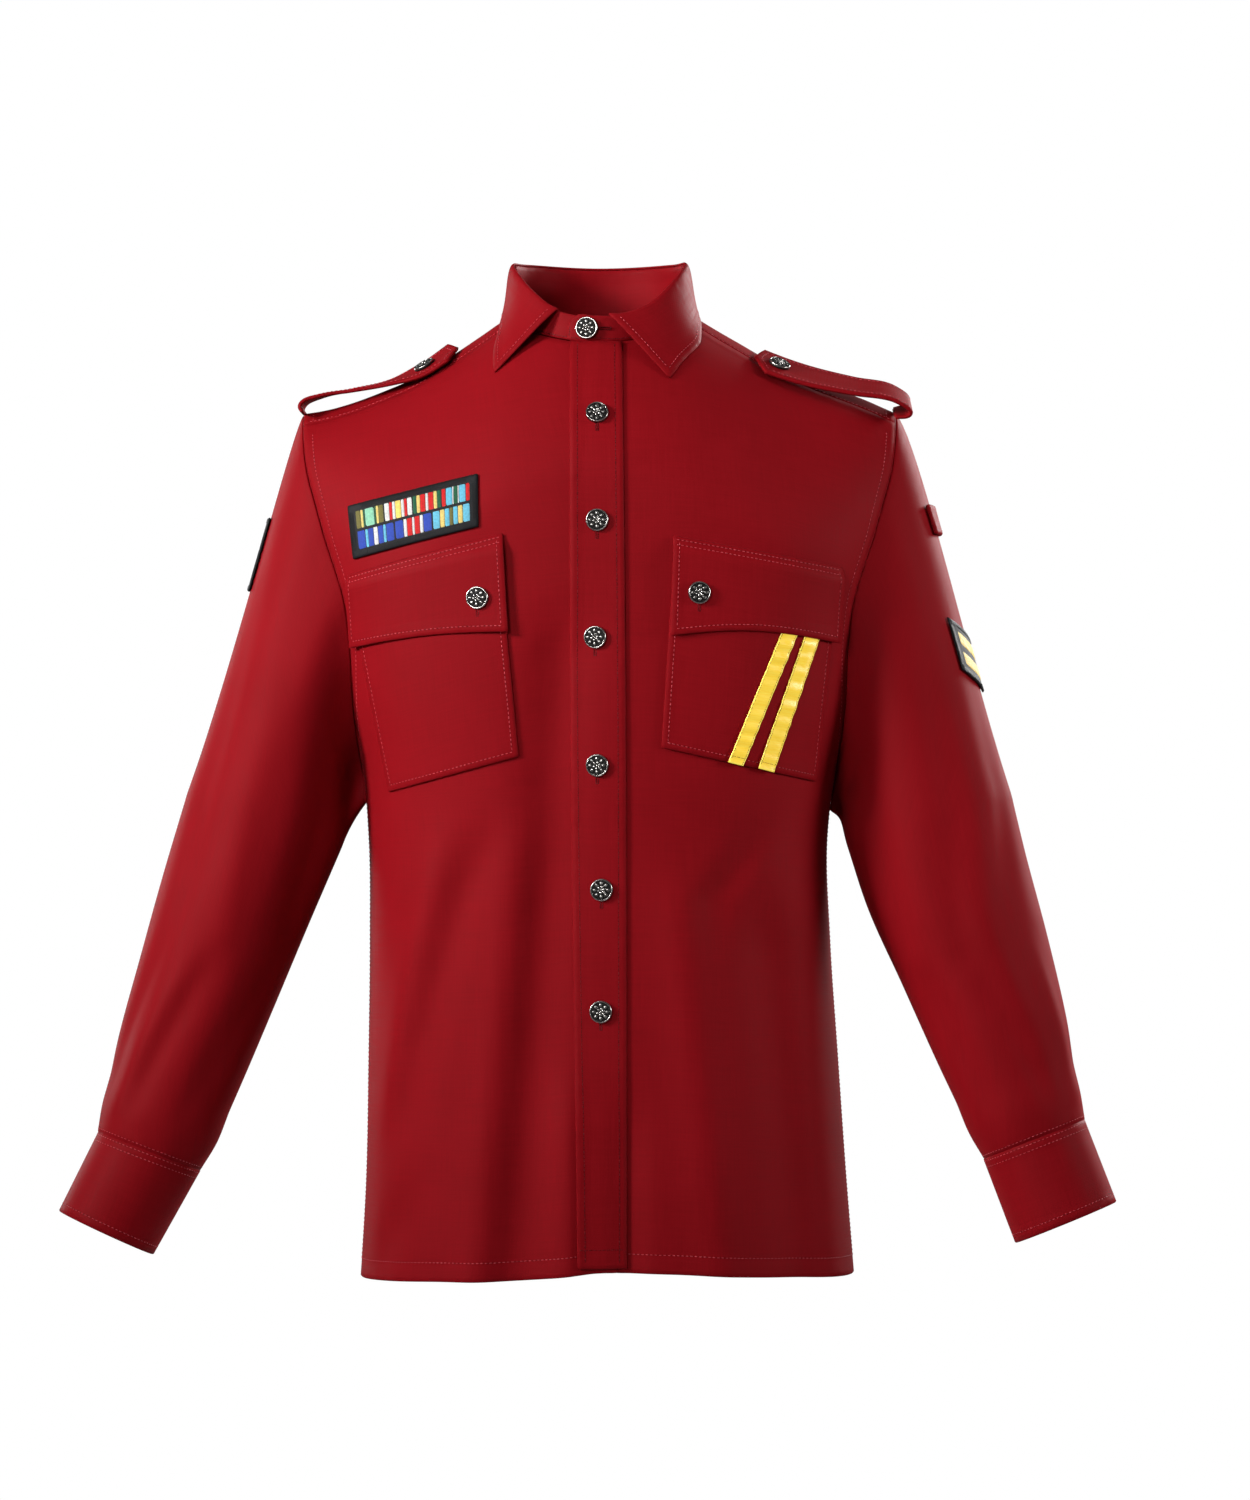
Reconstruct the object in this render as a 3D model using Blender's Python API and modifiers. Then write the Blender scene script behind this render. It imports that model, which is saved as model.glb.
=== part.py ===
"""A security guard's long-sleeved shirt, in the hollow shape it has when it is worn.

The scene is in metres with +Z up. The front faces -Y, the wearer's right is -X, and the origin is the
middle of the neck's base. Every length in this file is in millimetres, and MM turns it into metres
where a mesh is made. Each piece of cloth is an open sheet on the garment's form with a thin wall.
"""

import math

import bmesh
import bpy
import numpy as np
from mathutils import Vector

NAME = "guard_shirt"
MM = 0.001
RIGHT, LEFT = -1, 1  # the wearer's sides, as signs of X
FRONT, BACK = 1, -1


def table(names, rows):
    """A short table as one array for each named column."""
    return dict(zip(names.split(), np.array(rows, float).T))


# Cloth, and the spaces between pieces
WALL = 1.4  # shirt cloth
FIRM_WALL = 1.6  # interfaced cloth: collar, cuffs and flaps
STRAP_WALL = 3.0  # an epaulette, two layers and its interfacing
PATCH_WALL = 1.4
SATIN_WALL = 0.7
SEAM = 0.4  # half of the space at a seam
LIFT = 0.8  # a piece sewn on a panel stands this far off it

# The body's form. Across is measured from the centre line, height from the neck's base.
SQUARENESS = 2.4  # of its oval sections
BODY = table(
    "height right left front back",
    [
        (-745, 187, 200, 124, 118),
        (-660, 182, 193, 122, 115),
        (-560, 180, 186, 120, 109),
        (-470, 179, 180, 120, 106),
        (-390, 180, 178, 122, 107),
        (-335, 185, 185, 126, 110),
        (-290, 196, 196, 128, 113),
        (-238, 207, 206, 129, 117),
        (-187, 222, 221, 128, 119),
        (-132, 243, 242, 126, 118),
        (-60, 262, 261, 124, 116),
        (40, 262, 261, 122, 114),
    ],
)
# The shoulder line, where front meets back, on the wearer's right and left
RIDGE = table(
    "across right left",
    [
        (0, 37, 37),
        (35, 31, 31),
        (70, 16, 18),
        (92, 1, 5),
        (111, -12, -6),
        (128, -23, -16),
        (146, -33, -25),
        (167, -42, -34),
        (194, -52, -44),
        (212, -57, -51),
        (230, -60, -59),
        (262, -63, -66),
    ],
)
# How the cloth rolls over the shoulder line: how far below it the form is full, and how rounded it is
ROLL = {FRONT: (150, 1.6), BACK: (110, 1.8)}
ARMPIT = -362
ARMHOLE = table(
    "height edge",
    [
        (-362, 181),
        (-340, 183.8),
        (-320, 186.5),
        (-290, 189.5),
        (-238, 191.5),
        (-204, 196),
        (-187, 201),
        (-160, 210),
        (-132, 218),
        (-105, 225.5),
        (-80, 229),
        (-60, 230),
    ],
)
SHOULDER_TIP = 230
# The hem's height in front on the wearer's right and left, and how much lower the back hangs
HEM = table(
    "across right left back_drop",
    [
        (0, -719, -719, 17),
        (60, -725.5, -720.5, 13),
        (130, -728, -724.5, 6),
        (200, -732.5, -729, 0),
    ],
)

# The neck: an upright oval tube that meets the form
NECK_ACROSS, NECK_DEPTH, NECK_BACK = 70, 67, 7
NECK_SIDE = 89  # the angle where its front half ends, just short of the side

# Broad soft folds: where each starts and ends, its half width, and how far it goes in (-) or out (+)
FOLDS = table(
    "face top_across top_height end_across end_height width depth",
    [
        (FRONT, -62, -470, -78, -760, 22, -5.5),
        (FRONT, -118, -520, -112, -760, 20, 4.5),
        (FRONT, -112, -345, -84, -450, 15, -3.0),
        (FRONT, -126, -630, -172, -720, 16, -3.5),
        (FRONT, 62, -500, 74, -760, 22, 4.0),
        (FRONT, 126, -410, 142, -760, 21, -5.5),
        (FRONT, 150, -340, 100, -420, 14, -2.5),
        (BACK, -120, -330, -98, -760, 24, -6.0),
        (BACK, -52, -420, -46, -760, 22, 5.0),
        (BACK, 26, -400, 20, -760, 20, -5.0),
        (BACK, 108, -360, 88, -760, 24, -6.0),
        (BACK, 142, -470, 146, -760, 18, 4.0),
    ],
)
FOLD_FADE = 70  # the length over which a fold begins

# The yoke's seams, as drops below the shoulder line and as heights
YOKE_FRONT_DROP = 9
YOKE_BACK_CENTRE, YOKE_BACK_SLOPE = -62, 33

# Sleeves, from the biceps down to the cuff's seam, then the cuff. Forward is towards the front, lean
# is the section's angle from level, in degrees.
SLEEVE = {
    RIGHT: table(
        "height across forward width depth lean",
        [
            (-633, 348.5, 37, 88, 87, 21),
            (-609, 339.5, 35, 92, 92, 20),
            (-563, 324.7, 31, 102, 100, 19),
            (-502, 304, 25, 111, 107, 19),
            (-440, 282.9, 19, 119.5, 115, 19.3),
            (-377.5, 260.7, 12, 127.5, 121, 19.6),
        ],
    ),
    LEFT: table(
        "height across forward width depth lean",
        [
            (-624, 337.0, 36, 87, 87, 21.5),
            (-605, 330.0, 35, 89.5, 91, 20.5),
            (-548, 312.3, 29, 106, 103, 18.5),
            (-486, 291.7, 23, 119, 112, 18.7),
            (-424, 270, 16.5, 130, 121, 18.5),
            (-377.5, 257, 12, 134, 126, 17.8),
        ],
    ),
}
CUFF = {
    RIGHT: table(
        "height across forward width depth lean",
        [(-695.5, 381.4, 42, 80.5, 80, 25), (-633.6, 348.8, 37, 84.5, 84, 21)],
    ),
    LEFT: table(
        "height across forward width depth lean",
        [(-687.5, 361.2, 42, 84.5, 82, 22.3), (-624.6, 337.3, 36, 84, 84, 21.5)],
    ),
}
FORWARD_LEAN = 5  # of a sleeve's sections, in degrees
# How a sleeve leaves the armhole at its top: angle from straight down, and how strongly
CAP_ANGLE = {RIGHT: 36, LEFT: 46}
CAP_PUSH = {RIGHT: 45, LEFT: 70}
CAP_SPACE, CAP_SPACE_TOP = 1.5, 1.2  # between the armhole's edge and the sleeve, and more at the top
CAP_CLOSE = 1.25  # how much closer the rings lie at the armhole
# Which way a sleeve leaves the armhole's sides and the armpit (outwards, up), and how strongly
CAP_SIDE, CAP_SIDE_PUSH = (0.75, -0.65), 0.55
CAP_PIT, CAP_PIT_PUSH = (0.62, -0.78), 0.9
ARM_TOP = (205, -150)  # across and height where a sleeve's middle line meets the armhole

# The collar. Angle runs round the neck from the centre front over the wearer's right, in degrees.
FOLD_ACROSS, FOLD_DEPTH = 66.5, 67
COLLAR = table(
    "angle fold",
    [
        (-20, 14.5),
        (0, 12.5),
        (20, 14),
        (35, 20.5),
        (50, 32),
        (70, 47),
        (90, 56),
        (120, 59),
        (180, 59),
        (240, 59),
        (270, 57),
        (290, 48),
        (310, 33),
        (325, 21),
        (340, 14),
        (360, 12.5),
        (381, 14.5),
    ],
)
STAND_START, STAND_END = -5, 380.3  # the wearer's left end laps over the right one
STAND_LAP = 1.0  # each end's distance from the middle of the wall
STAND_CORNER = 8  # radius of the lapping end's top corner
LEAF_START, LEAF_END = 28.6, 353
TIP_RIGHT, TIP_LEFT = 51.3, 326.5  # where the leaf's points lie round the neck
LEAF_EDGE = table(
    "angle reach depth",
    [
        (30, 106, 90),
        (51, 102, 90),
        (60, 93, 90),
        (70, 82.5, 74),
        (90, 75, 52),
        (135, 78, 44),
        (180, 79, 42),
        (225, 78, 44),
        (270, 76.5, 52),
        (290, 83, 74),
        (300, 88.5, 90),
        (308, 90, 90),
        (317, 92.5, 90),
        (327, 98, 90),
    ],
)
LEAF_CLEAR = 1.0
LEAF_ROLL = 2.4  # how far the leaf swells outwards between its fold and its edge
LEAF_TURN = 1.3  # how steeply the leaf falls from its fold

# The placket, by height: its free edge and its sewn edge
PLACKET = table("height free sewn", [(-716, -15.8, 20.8), (-238, -21.0, 19.6), (0, -21.6, 17.0)])
PLACKET_TOP_SPACE = 1.2  # between the placket's top and the collar's seam
FRONTS_MEET = 14  # where the two fronts end under the placket

# Pockets, by their corners as (across, height): top inner, top outer, bottom outer, bottom inner
POCKET = {
    RIGHT: ((-75.5, -174), (-190.5, -203), (-160, -354.5), (-61.2, -327.5)),
    LEFT: ((57.5, -174), (182, -196), (165.5, -346.5), (48, -320.7)),
}
FLAP = {
    RIGHT: ((-73, -159.5), (-191.5, -189.5), (-187, -243.5), (-68.7, -233)),
    LEFT: ((57, -161.5), (185.5, -183.7), (180.5, -240), (54.5, -236)),
}
FLAP_BOW = {RIGHT: 3, LEFT: 6}  # how far the flap's lower edge is lifted at its middle
FLAP_STAND = 4.2  # the flap's distance off the front where it covers the pocket
FLAP_SEWN, FLAP_RISEN = 0.04, 0.16  # the shares of its height between which it rises
FLAP_LEVELS = (0, 0.06, 0.18, 0.45, 0.75, 1)

# Satin ribbons on the wearer's left pocket: top inner, top outer, bottom outer, bottom inner
STRIPES = {
    "stripe_inner": ((138.9, -230), (150.6, -231.5), (108.2, -334.6), (97.2, -331.8)),
    "stripe_outer": ((156.4, -232), (167.4, -233.5), (131.2, -339.4), (119.8, -336.4)),
}
# The patch of ribbon bars: top inner, top outer, bottom outer, bottom inner
RIBBON_PATCH = ((-91.8, -114), (-191.7, -136.6), (-187, -176.5), (-91.5, -153.4))

# Patches on the sleeves: where each starts and ends round the sleeve, in degrees from its outer side
# to the front, its top's and bottom's height, how far its middle hangs down, and its wall
SLEEVE_PIECES = {
    "sleeve_patch": (RIGHT, -40, 9, -143, -199, 0, PATCH_WALL),
    "chevron_patch": (LEFT, -35, 35, -221, -261, 17, PATCH_WALL),
    "sleeve_tab": (LEFT, -12, 18, -134, -155, 0, STRAP_WALL),
}
PATCH_LIFT, PATCH_STEP = 0.96, 0.03  # a patch's distance off the sleeve; a short way on its grid

# Epaulettes, from the armhole's seam over the arch to the buttoned end: across and height of the
# strap's middle, how far it lies forward, and its roll towards the front in degrees
EPAULETTE = {
    RIGHT: table(
        "share across height forward roll",
        [
            (0.00, 230.0, -58.6, 0, 0),
            (0.06, 231.5, -55.8, 0, 0),
            (0.13, 228.0, -51.6, 0, 1),
            (0.22, 216.0, -47.6, 0, 3),
            (0.42, 193.0, -43.5, 0, 5),
            (0.66, 160.0, -36.6, 4, 9),
            (0.80, 139.0, -28.6, 9, 18),
            (1.00, 110.0, -11.4, 12, 22),
        ],
    ),
    LEFT: table(
        "share across height forward roll",
        [
            (0.00, 230.3, -58.8, 9, 12),
            (0.06, 238.0, -57.6, 11, 15),
            (0.13, 240.0, -54.0, 13, 18),
            (0.22, 229.0, -47.2, 17, 20),
            (0.42, 198.0, -41.5, 20, 22),
            (0.66, 163.0, -34.0, 23, 25),
            (0.82, 141.0, -27.4, 25, 27),
            (1.00, 121.0, -19.2, 26, 28),
        ],
    ),
}
STRAP_WIDTH, STRAP_SEAM_WIDTH = 40, 44
STRAP_NARROWS = 0.33  # the share of its length over which a strap narrows from its seam
STRAP_POINT, STRAP_POINT_SHARE = 7, 0.15  # how far its corners are cut back, and over what share

# Buttons, and where each lies: front buttons by height, the others by place
BUTTON_RADIUS, BUTTON_HEIGHT, BUTTON_SIDES = 9, 3.4, 14
FRONT_BUTTONS = table(
    "across height",
    [(-1.2, -68), (-1.2, -149), (-2.2, -237.5), (-0.8, -334.5), (2.2, -429), (1.6, -521.5)],
)
COLLAR_BUTTON_ANGLE, COLLAR_BUTTON_HEIGHT = 7.5, 0.5
FLAP_BUTTONS = {RIGHT: (-90.7, -207.7), LEFT: (75.3, -204)}
STRAP_BUTTON_SHARE = {RIGHT: 0.83, LEFT: 0.845}
CUFF_BUTTON_ANGLE = 262  # round the cuff from its outer side, over the front, in degrees
CUFF_START, CUFF_LAP_TURN = 281, 38  # where a cuff's band ends, and how far its ends lap, in degrees
CUFF_LAP = 1.0  # each end's distance from the middle of the wall
BUTTON_SEAT = 0.5  # a button's distance from the cloth under it

SHOULDER_START = -90  # the height from which outwards also means up
ROW_POINTS = 120  # of a line before its columns are spaced on it
SETTLE = 6  # rounds in which a place that depends on its own height comes to rest
SHORT_WAY = 2.0  # on the fronts, to tell which way they face

CLOTH_RED = (0.36, 0.012, 0.022)
GOLD = (0.83, 0.56, 0.06)
BLACK = (0.02, 0.02, 0.022)
METAL = (0.42, 0.41, 0.39)


def read(rows, key, column, at):
    """A column of a table at places between its rows, on a smooth line through them."""
    keys, values = rows[key], rows[column]
    slopes = np.gradient(values, keys)
    at = np.clip(at, keys.min(), keys.max())
    i = np.clip(np.searchsorted(keys, at) - 1, 0, len(keys) - 2)
    width = keys[i + 1] - keys[i]
    t = (at - keys[i]) / width
    return (
        (1 + 2 * t) * (1 - t) ** 2 * values[i]
        + t * (1 - t) ** 2 * width * slopes[i]
        + t**2 * (3 - 2 * t) * values[i + 1]
        - t**2 * (1 - t) * width * slopes[i + 1]
    )


def points(x, y, z):
    """Places with these coordinates, each one value or an array."""
    return np.stack(np.broadcast_arrays(x, y, z), axis=-1).astype(float)


def along(line, shares):
    """Points of a line at shares of its length."""
    steps = np.linalg.norm(np.diff(line, axis=0), axis=1)
    run = np.concatenate([[0], np.cumsum(steps)])
    places = np.asarray(shares) * run[-1]
    return np.stack([np.interp(places, run, line[:, k]) for k in range(3)], axis=1)


def by_side(rows, key, x, at):
    """A column that the wearer's right and left have each for itself, blended at the centre."""
    right, left = read(rows, key, "right", at), read(rows, key, "left", at)
    return np.where(x < 0, right, left)


def half_width(x, z):
    """From the centre line to the body's side."""
    return by_side(BODY, "height", x, z)


def ridge(x):
    """The shoulder line's height."""
    return by_side(RIDGE, "across", x, np.abs(x))


def fold_push(face, x, z):
    """How far the folds of the front (1) or the back (-1) move the cloth outwards."""
    push = np.zeros(np.broadcast(x, z).shape)
    for i in np.flatnonzero(FOLDS["face"] == face):
        top, end = FOLDS["top_height"][i], FOLDS["end_height"][i]
        t = np.clip((top - z) / (top - end), 0, 1.2)
        middle = FOLDS["top_across"][i] + t * (FOLDS["end_across"][i] - FOLDS["top_across"][i])
        begun = np.clip((top - z) / FOLD_FADE, 0, 1)
        ended = np.clip((z - end + FOLD_FADE) / FOLD_FADE, 0, 1)
        strength = begun**2 * (3 - 2 * begun) * ended**2 * (3 - 2 * ended)
        push = push + FOLDS["depth"][i] * strength * np.exp(-(((x - middle) / FOLDS["width"][i]) ** 2))
    return push


def full_depth(face, x, z):
    """The form's distance in front of or behind its middle, without the shoulder's slope."""
    column = "front" if face == FRONT else "back"
    share = np.clip(np.abs(x) / half_width(x, z), 0, 1)
    return read(BODY, "height", column, z) * (1 - share**SQUARENESS) ** (1 / SQUARENESS)


def rolled(face, drop):
    """The share of the full depth that the cloth has reached at a drop below the shoulder line."""
    reach, roundness = ROLL[face]
    q = np.clip(drop / reach, 0, 1)
    return (1 - (1 - q) ** roundness) ** (1 / roundness)


def body_y(face, x, z):
    """The body's outer surface: face 1 is the front, -1 the back."""
    depth = full_depth(face, x, z) * rolled(face, ridge(x) - z)
    inside = np.clip(1 - np.abs(x) / half_width(x, z), 0, 0.12) / 0.12
    return -face * (depth + fold_push(face, x, z) * inside)


def height_over(x, y):
    """The height of the shoulders' surface over a place near the neck."""
    face = FRONT if y < 0 else BACK
    reach, roundness = ROLL[face]
    z = line = float(ridge(x))
    for _ in range(SETTLE):
        share = min(abs(y) / float(full_depth(face, x, z)), 1)
        z = line - reach * (1 - (1 - share**roundness) ** (1 / roundness))
    return float(z)


def neck_point(angle):
    """The neck seam: where the upright oval tube meets the form."""
    a = math.radians(angle)
    x, y = -NECK_ACROSS * math.sin(a), -NECK_BACK - NECK_DEPTH * math.cos(a)
    return np.array([x, y, height_over(x, y)])


def armhole_edge(z):
    """From the centre line to the armhole."""
    return read(ARMHOLE, "height", "edge", z)


def neck_corner():
    """The angle and the distance across at which the front's yoke seam meets the neck."""
    for angle in np.linspace(NECK_SIDE / 2, NECK_SIDE, ROW_POINTS):
        x, y, z = neck_point(angle)
        if ridge(x) - z < YOKE_FRONT_DROP:
            return angle, -x
    return NECK_SIDE, NECK_ACROSS


CORNER_ANGLE, CORNER_ACROSS = neck_corner()
NECK_FRONT = np.array([neck_point(angle) for angle in np.linspace(0, NECK_SIDE, ROW_POINTS // 2)])


def front_top(x):
    """The upper edge of a front: the neck seam, then the yoke's front seam."""
    seam = ridge(x) - YOKE_FRONT_DROP
    neck_height = np.interp(np.abs(x), -NECK_FRONT[:, 0], NECK_FRONT[:, 2])
    return np.where(np.abs(x) < CORNER_ACROSS, neck_height, seam)


def yoke_back(x):
    """The height of the yoke's seam behind."""
    return YOKE_BACK_CENTRE - YOKE_BACK_SLOPE * (np.abs(x) / SHOULDER_TIP) ** 2


def hem_height(face, x):
    """The height of the lower edge in front or behind."""
    hem = by_side(HEM, "across", x, np.abs(x))
    return hem if face == FRONT else hem - read(HEM, "across", "back_drop", np.abs(x))


def body_row(face, level, start, end, top):
    """One dense line across a panel. Level 0 is the hem, 1 the armpit's height and 2 the top edge;
    start and end are across, and a side's sign stands for its side seam or armhole."""

    def height(x):
        if level <= 1:
            hem = hem_height(face, x)
            return hem + (ARMPIT - hem) * level
        return ARMPIT + (top(x) - SEAM - ARMPIT) * (level - 1)

    edges, widths = {}, {}
    for side in (RIGHT, LEFT):
        x = float(side * SHOULDER_TIP)
        for _ in range(SETTLE):
            z = height(np.array(x))
            x = side * float(half_width(x, z) if level <= 1 else armhole_edge(z))
        edges[side], widths[side] = x, float(half_width(x, z))
    turns = []
    for place in (start, end):
        x = edges.get(place, place)
        share = min(abs(x) / widths[RIGHT if x < 0 else LEFT], 1)
        turns.append(math.copysign(math.asin(share ** (SQUARENESS / 2)), x))
    turn = np.linspace(*turns, ROW_POINTS)
    share = np.abs(np.sin(turn)) ** (2 / SQUARENESS) * np.sign(turn)
    x = share * np.where(share < 0, widths[RIGHT], widths[LEFT])
    z = height(x)
    return points(x, body_y(face, x, z) - face * SEAM, z)


def panel(face, parts, rows_low, rows_high, top):
    """A body panel's grid of points, rows from the hem up. Parts are (start, end, columns)."""
    levels = np.concatenate(
        [np.linspace(0, 1, rows_low + 1), 1 + np.linspace(0, 1, rows_high + 1)[1:]]
    )
    rows = []
    for level in levels:
        row = []
        for start, end, columns in parts:
            line = along(body_row(face, level, start, end, top), np.linspace(0, 1, columns + 1))
            row.extend(line if not row else line[1:])
        rows.append(row)
    return np.array(rows)


def over_shoulder(x, turn):
    """A place on the yoke. Turn runs from -90 degrees in front over 0 on the shoulder line."""
    face = FRONT if turn < 0 else BACK
    reach, roundness = ROLL[face]
    z = ridge(x) - reach * (1 - math.cos(math.radians(turn)) ** (2 / roundness))
    return np.array([x, float(body_y(face, x, z)), float(z)])


def turn_at(face, drop):
    """The turn over the shoulder at which the form is a drop below the shoulder line."""
    reach, roundness = ROLL[face]
    share = min(max(1 - drop / reach, 0), 1)
    return -face * math.degrees(math.acos(share ** (roundness / 2)))


def armhole_across(side, turn):
    """Across to the armhole's edge at a turn over the shoulder."""
    x = side * float(SHOULDER_TIP)
    for _ in range(SETTLE):
        x = side * float(armhole_edge(over_shoulder(x, turn)[2]))
    return x


def yoke_grid(seam_columns=7, neck_columns=8, rows=6):
    """The yoke, columns from the wearer's left armhole round to the right one."""
    columns = []
    half = seam_columns + neck_columns
    front_turn = turn_at(FRONT, YOKE_FRONT_DROP)
    for side in (LEFT, RIGHT):
        one_side = []
        for k in range(half + 1):
            if k <= seam_columns:
                x = SHOULDER_TIP + (CORNER_ACROSS - SHOULDER_TIP) * k / seam_columns
                start = (side * x, front_turn)
            else:
                angle = CORNER_ANGLE + (180 - CORNER_ANGLE) * (k - seam_columns) / neck_columns
                x, y, z = neck_point(angle)
                face = FRONT if y < 0 else BACK
                start = (-side * x, turn_at(face, ridge(-side * x) - z))
            x = side * SHOULDER_TIP * (1 - k / half)
            end = (x, turn_at(BACK, ridge(x) - yoke_back(x) - SEAM))
            column = []
            for j in range(rows + 1):
                turn = start[1] + (end[1] - start[1]) * j / rows
                shares = [abs(p[0]) / abs(armhole_across(side, p[1])) for p in (start, end)]
                share = shares[0] + (shares[1] - shares[0]) * j / rows
                if k == 0:
                    share = 1
                spot = over_shoulder(share * armhole_across(side, turn), turn)
                column.append(spot)
            one_side.append(along_spread(column))
        columns.append(one_side)
    joined = columns[0] + columns[1][-2::-1]
    return np.array(joined)


def along_spread(column):
    """The same column with its points evenly spaced along it."""
    return along(np.array(column), np.linspace(0, 1, len(column)))


def armhole_line(side, count):
    """The armhole seam as a ring: its top, down the front, the armpit, up the back."""
    halves = []
    for face in (FRONT, BACK):
        tip = float(ridge(side * SHOULDER_TIP))
        fall = 0.5 - 0.5 * np.cos(np.linspace(0, math.pi, 200))
        z = tip + (ARMPIT - tip) * fall
        x = side * armhole_edge(z)
        y = body_y(face, x, z)
        y[0] = y[-1] = 0
        halves.append(along(points(x, y, z), np.linspace(0, 1, count // 2 + 1)))
    return np.concatenate([halves[0], halves[1][-2:0:-1]])


def ring(side, rows, z, turns, grow=0.0):
    """A level of a sleeve or cuff, and its way down. Turns are degrees from the outer side over the
    front."""
    lean = math.radians(float(read(rows, "height", "lean", z)))
    tip = math.radians(FORWARD_LEAN)
    middle = np.array([
        side * float(read(rows, "height", "across", z)),
        -float(read(rows, "height", "forward", z)),
        z,
    ])
    outward = np.array([side * math.cos(lean), 0, math.sin(lean)])
    down = np.array([side * math.sin(lean), -math.sin(tip), -math.cos(lean)])
    down /= np.linalg.norm(down)
    forward = np.cross(down, outward) * side
    forward /= np.linalg.norm(forward)
    if forward[1] > 0:
        forward = -forward
    a = np.radians(turns)[:, None]
    across = float(read(rows, "height", "width", z)) / 2 + grow
    deep = float(read(rows, "height", "depth", z)) / 2 + grow
    return middle + outward * across * np.cos(a) + forward * deep * np.sin(a), down


def sleeve_grid(side, count, cap_rows, arm_rows):
    """A sleeve's rings, from the armhole down to the cuff's seam."""
    turns = np.arange(count) * 360 / count
    start = armhole_line(side, count)
    top_height = SLEEVE[side]["height"].max()
    end_height = SLEEVE[side]["height"].min()
    biceps, down = ring(side, SLEEVE[side], top_height, turns)
    chord = biceps - start
    length = np.linalg.norm(chord, axis=1)[:, None]
    c = np.cos(np.radians(turns))[:, None]
    top, bottom = ((1 + c) / 2) ** 2, ((1 - c) / 2) ** 2
    middle = 1 - top - bottom
    angle = math.radians(CAP_ANGLE[side])
    leave_top = np.array([side * math.sin(angle), 0, -math.cos(angle)]) * CAP_PUSH[side]
    leave_side = np.array([side * CAP_SIDE[0], 0, CAP_SIDE[1]]) * CAP_SIDE_PUSH * length
    leave_pit = np.array([side * CAP_PIT[0], 0, CAP_PIT[1]]) * CAP_PIT_PUSH * length
    leave = top * leave_top + middle * leave_side + bottom * leave_pit
    away = leave / np.linalg.norm(leave, axis=1)[:, None]
    start = start + away * (CAP_SPACE + CAP_SPACE_TOP * top)
    rings = []
    for i in range(cap_rows):
        t = (i / cap_rows) ** CAP_CLOSE
        rings.append(
            (1 + 2 * t) * (1 - t) ** 2 * start
            + t * (1 - t) ** 2 * leave
            + t**2 * (3 - 2 * t) * biceps
            - t**2 * (1 - t) * down * length
        )
    for i in range(arm_rows + 1):
        z = top_height + (end_height - top_height) * i / arm_rows
        rings.append(ring(side, SLEEVE[side], z, turns)[0])
    return np.array(rings)


def grid_place(grid, u, v):
    """A place on a tube's grid: u round its rings and v down it, both as shares."""
    rows, columns = grid.shape[0] - 1, grid.shape[1]
    a, b = u * columns, min(max(v, 0), 1) * rows
    i, j = math.floor(a), min(int(b), rows - 1)
    s, t = a - i, b - j
    k = (i + 1) % columns
    i %= columns
    upper = grid[j][i] * (1 - s) + grid[j][k] * s
    lower = grid[j + 1][i] * (1 - s) + grid[j + 1][k] * s
    return upper * (1 - t) + lower * t


def on_front(x, z, lift):
    """A place that stands off the fronts by a lift, and the way out there."""
    y = float(body_y(FRONT, x, z))
    here = np.array([x, y - SEAM, z])
    across = np.array([SHORT_WAY, float(body_y(FRONT, x + SHORT_WAY, z)) - y, 0])
    up = np.array([0, float(body_y(FRONT, x, z + SHORT_WAY)) - y, SHORT_WAY])
    out = np.cross(across, up)
    out /= np.linalg.norm(out)
    return here + out * lift, out


def four_sided(corners, u, v):
    """A place in a patch with corners top inner, top outer, bottom outer, bottom inner."""
    a, b, c, d = (np.array(p, float) for p in corners)
    return (a * (1 - u) + b * u) * (1 - v) + (d * (1 - u) + c * u) * v


def front_piece(corners, columns, rows, lift):
    """A grid of points that stand off the fronts by a lift."""
    grid = []
    for j in range(rows + 1):
        line = []
        for i in range(columns + 1):
            u, v = i / columns, j / rows
            x, z = four_sided(corners, u, v)
            line.append(on_front(x, z, lift)[0])
        grid.append(line)
    return np.array(grid)


def flap_grid(side, columns=10):
    """A flap: its sewn edge lies on the front, and it rises to lie over the pocket."""
    corners, bow = FLAP[side], FLAP_BOW[side]
    grid = []
    for v in FLAP_LEVELS:
        line = []
        for i in range(columns + 1):
            u = i / columns
            x, z = four_sided(corners, u, v)
            lift = float(np.interp(v, (FLAP_SEWN, FLAP_RISEN), (LIFT, FLAP_STAND)))
            line.append(on_front(x, z + bow * v * math.sin(math.pi * u), lift)[0])
        grid.append(line)
    return np.array(grid)


def placket_grid(rows=25, columns=2):
    """The placket, from the collar's seam down to the hem."""
    top = float(front_top(0.0)) - PLACKET_TOP_SPACE
    bottom = PLACKET["height"].min()
    grid = []
    for j in range(rows + 1):
        line = []
        z = top + (bottom - top) * j / rows
        free = float(read(PLACKET, "height", "free", z))
        sewn = float(read(PLACKET, "height", "sewn", z))
        for i in range(columns + 1):
            x = free + (sewn - free) * i / columns
            line.append(on_front(x, min(z, float(front_top(x)) - PLACKET_TOP_SPACE), LIFT)[0])
        grid.append(line)
    return np.array(grid)


def fold_point(angle, drop):
    """A place below the collar's fold."""
    a = math.radians(angle)
    height = float(read(COLLAR, "angle", "fold", angle))
    return np.array([-FOLD_ACROSS * math.sin(a), -NECK_BACK - FOLD_DEPTH * math.cos(a), height - drop])


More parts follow.
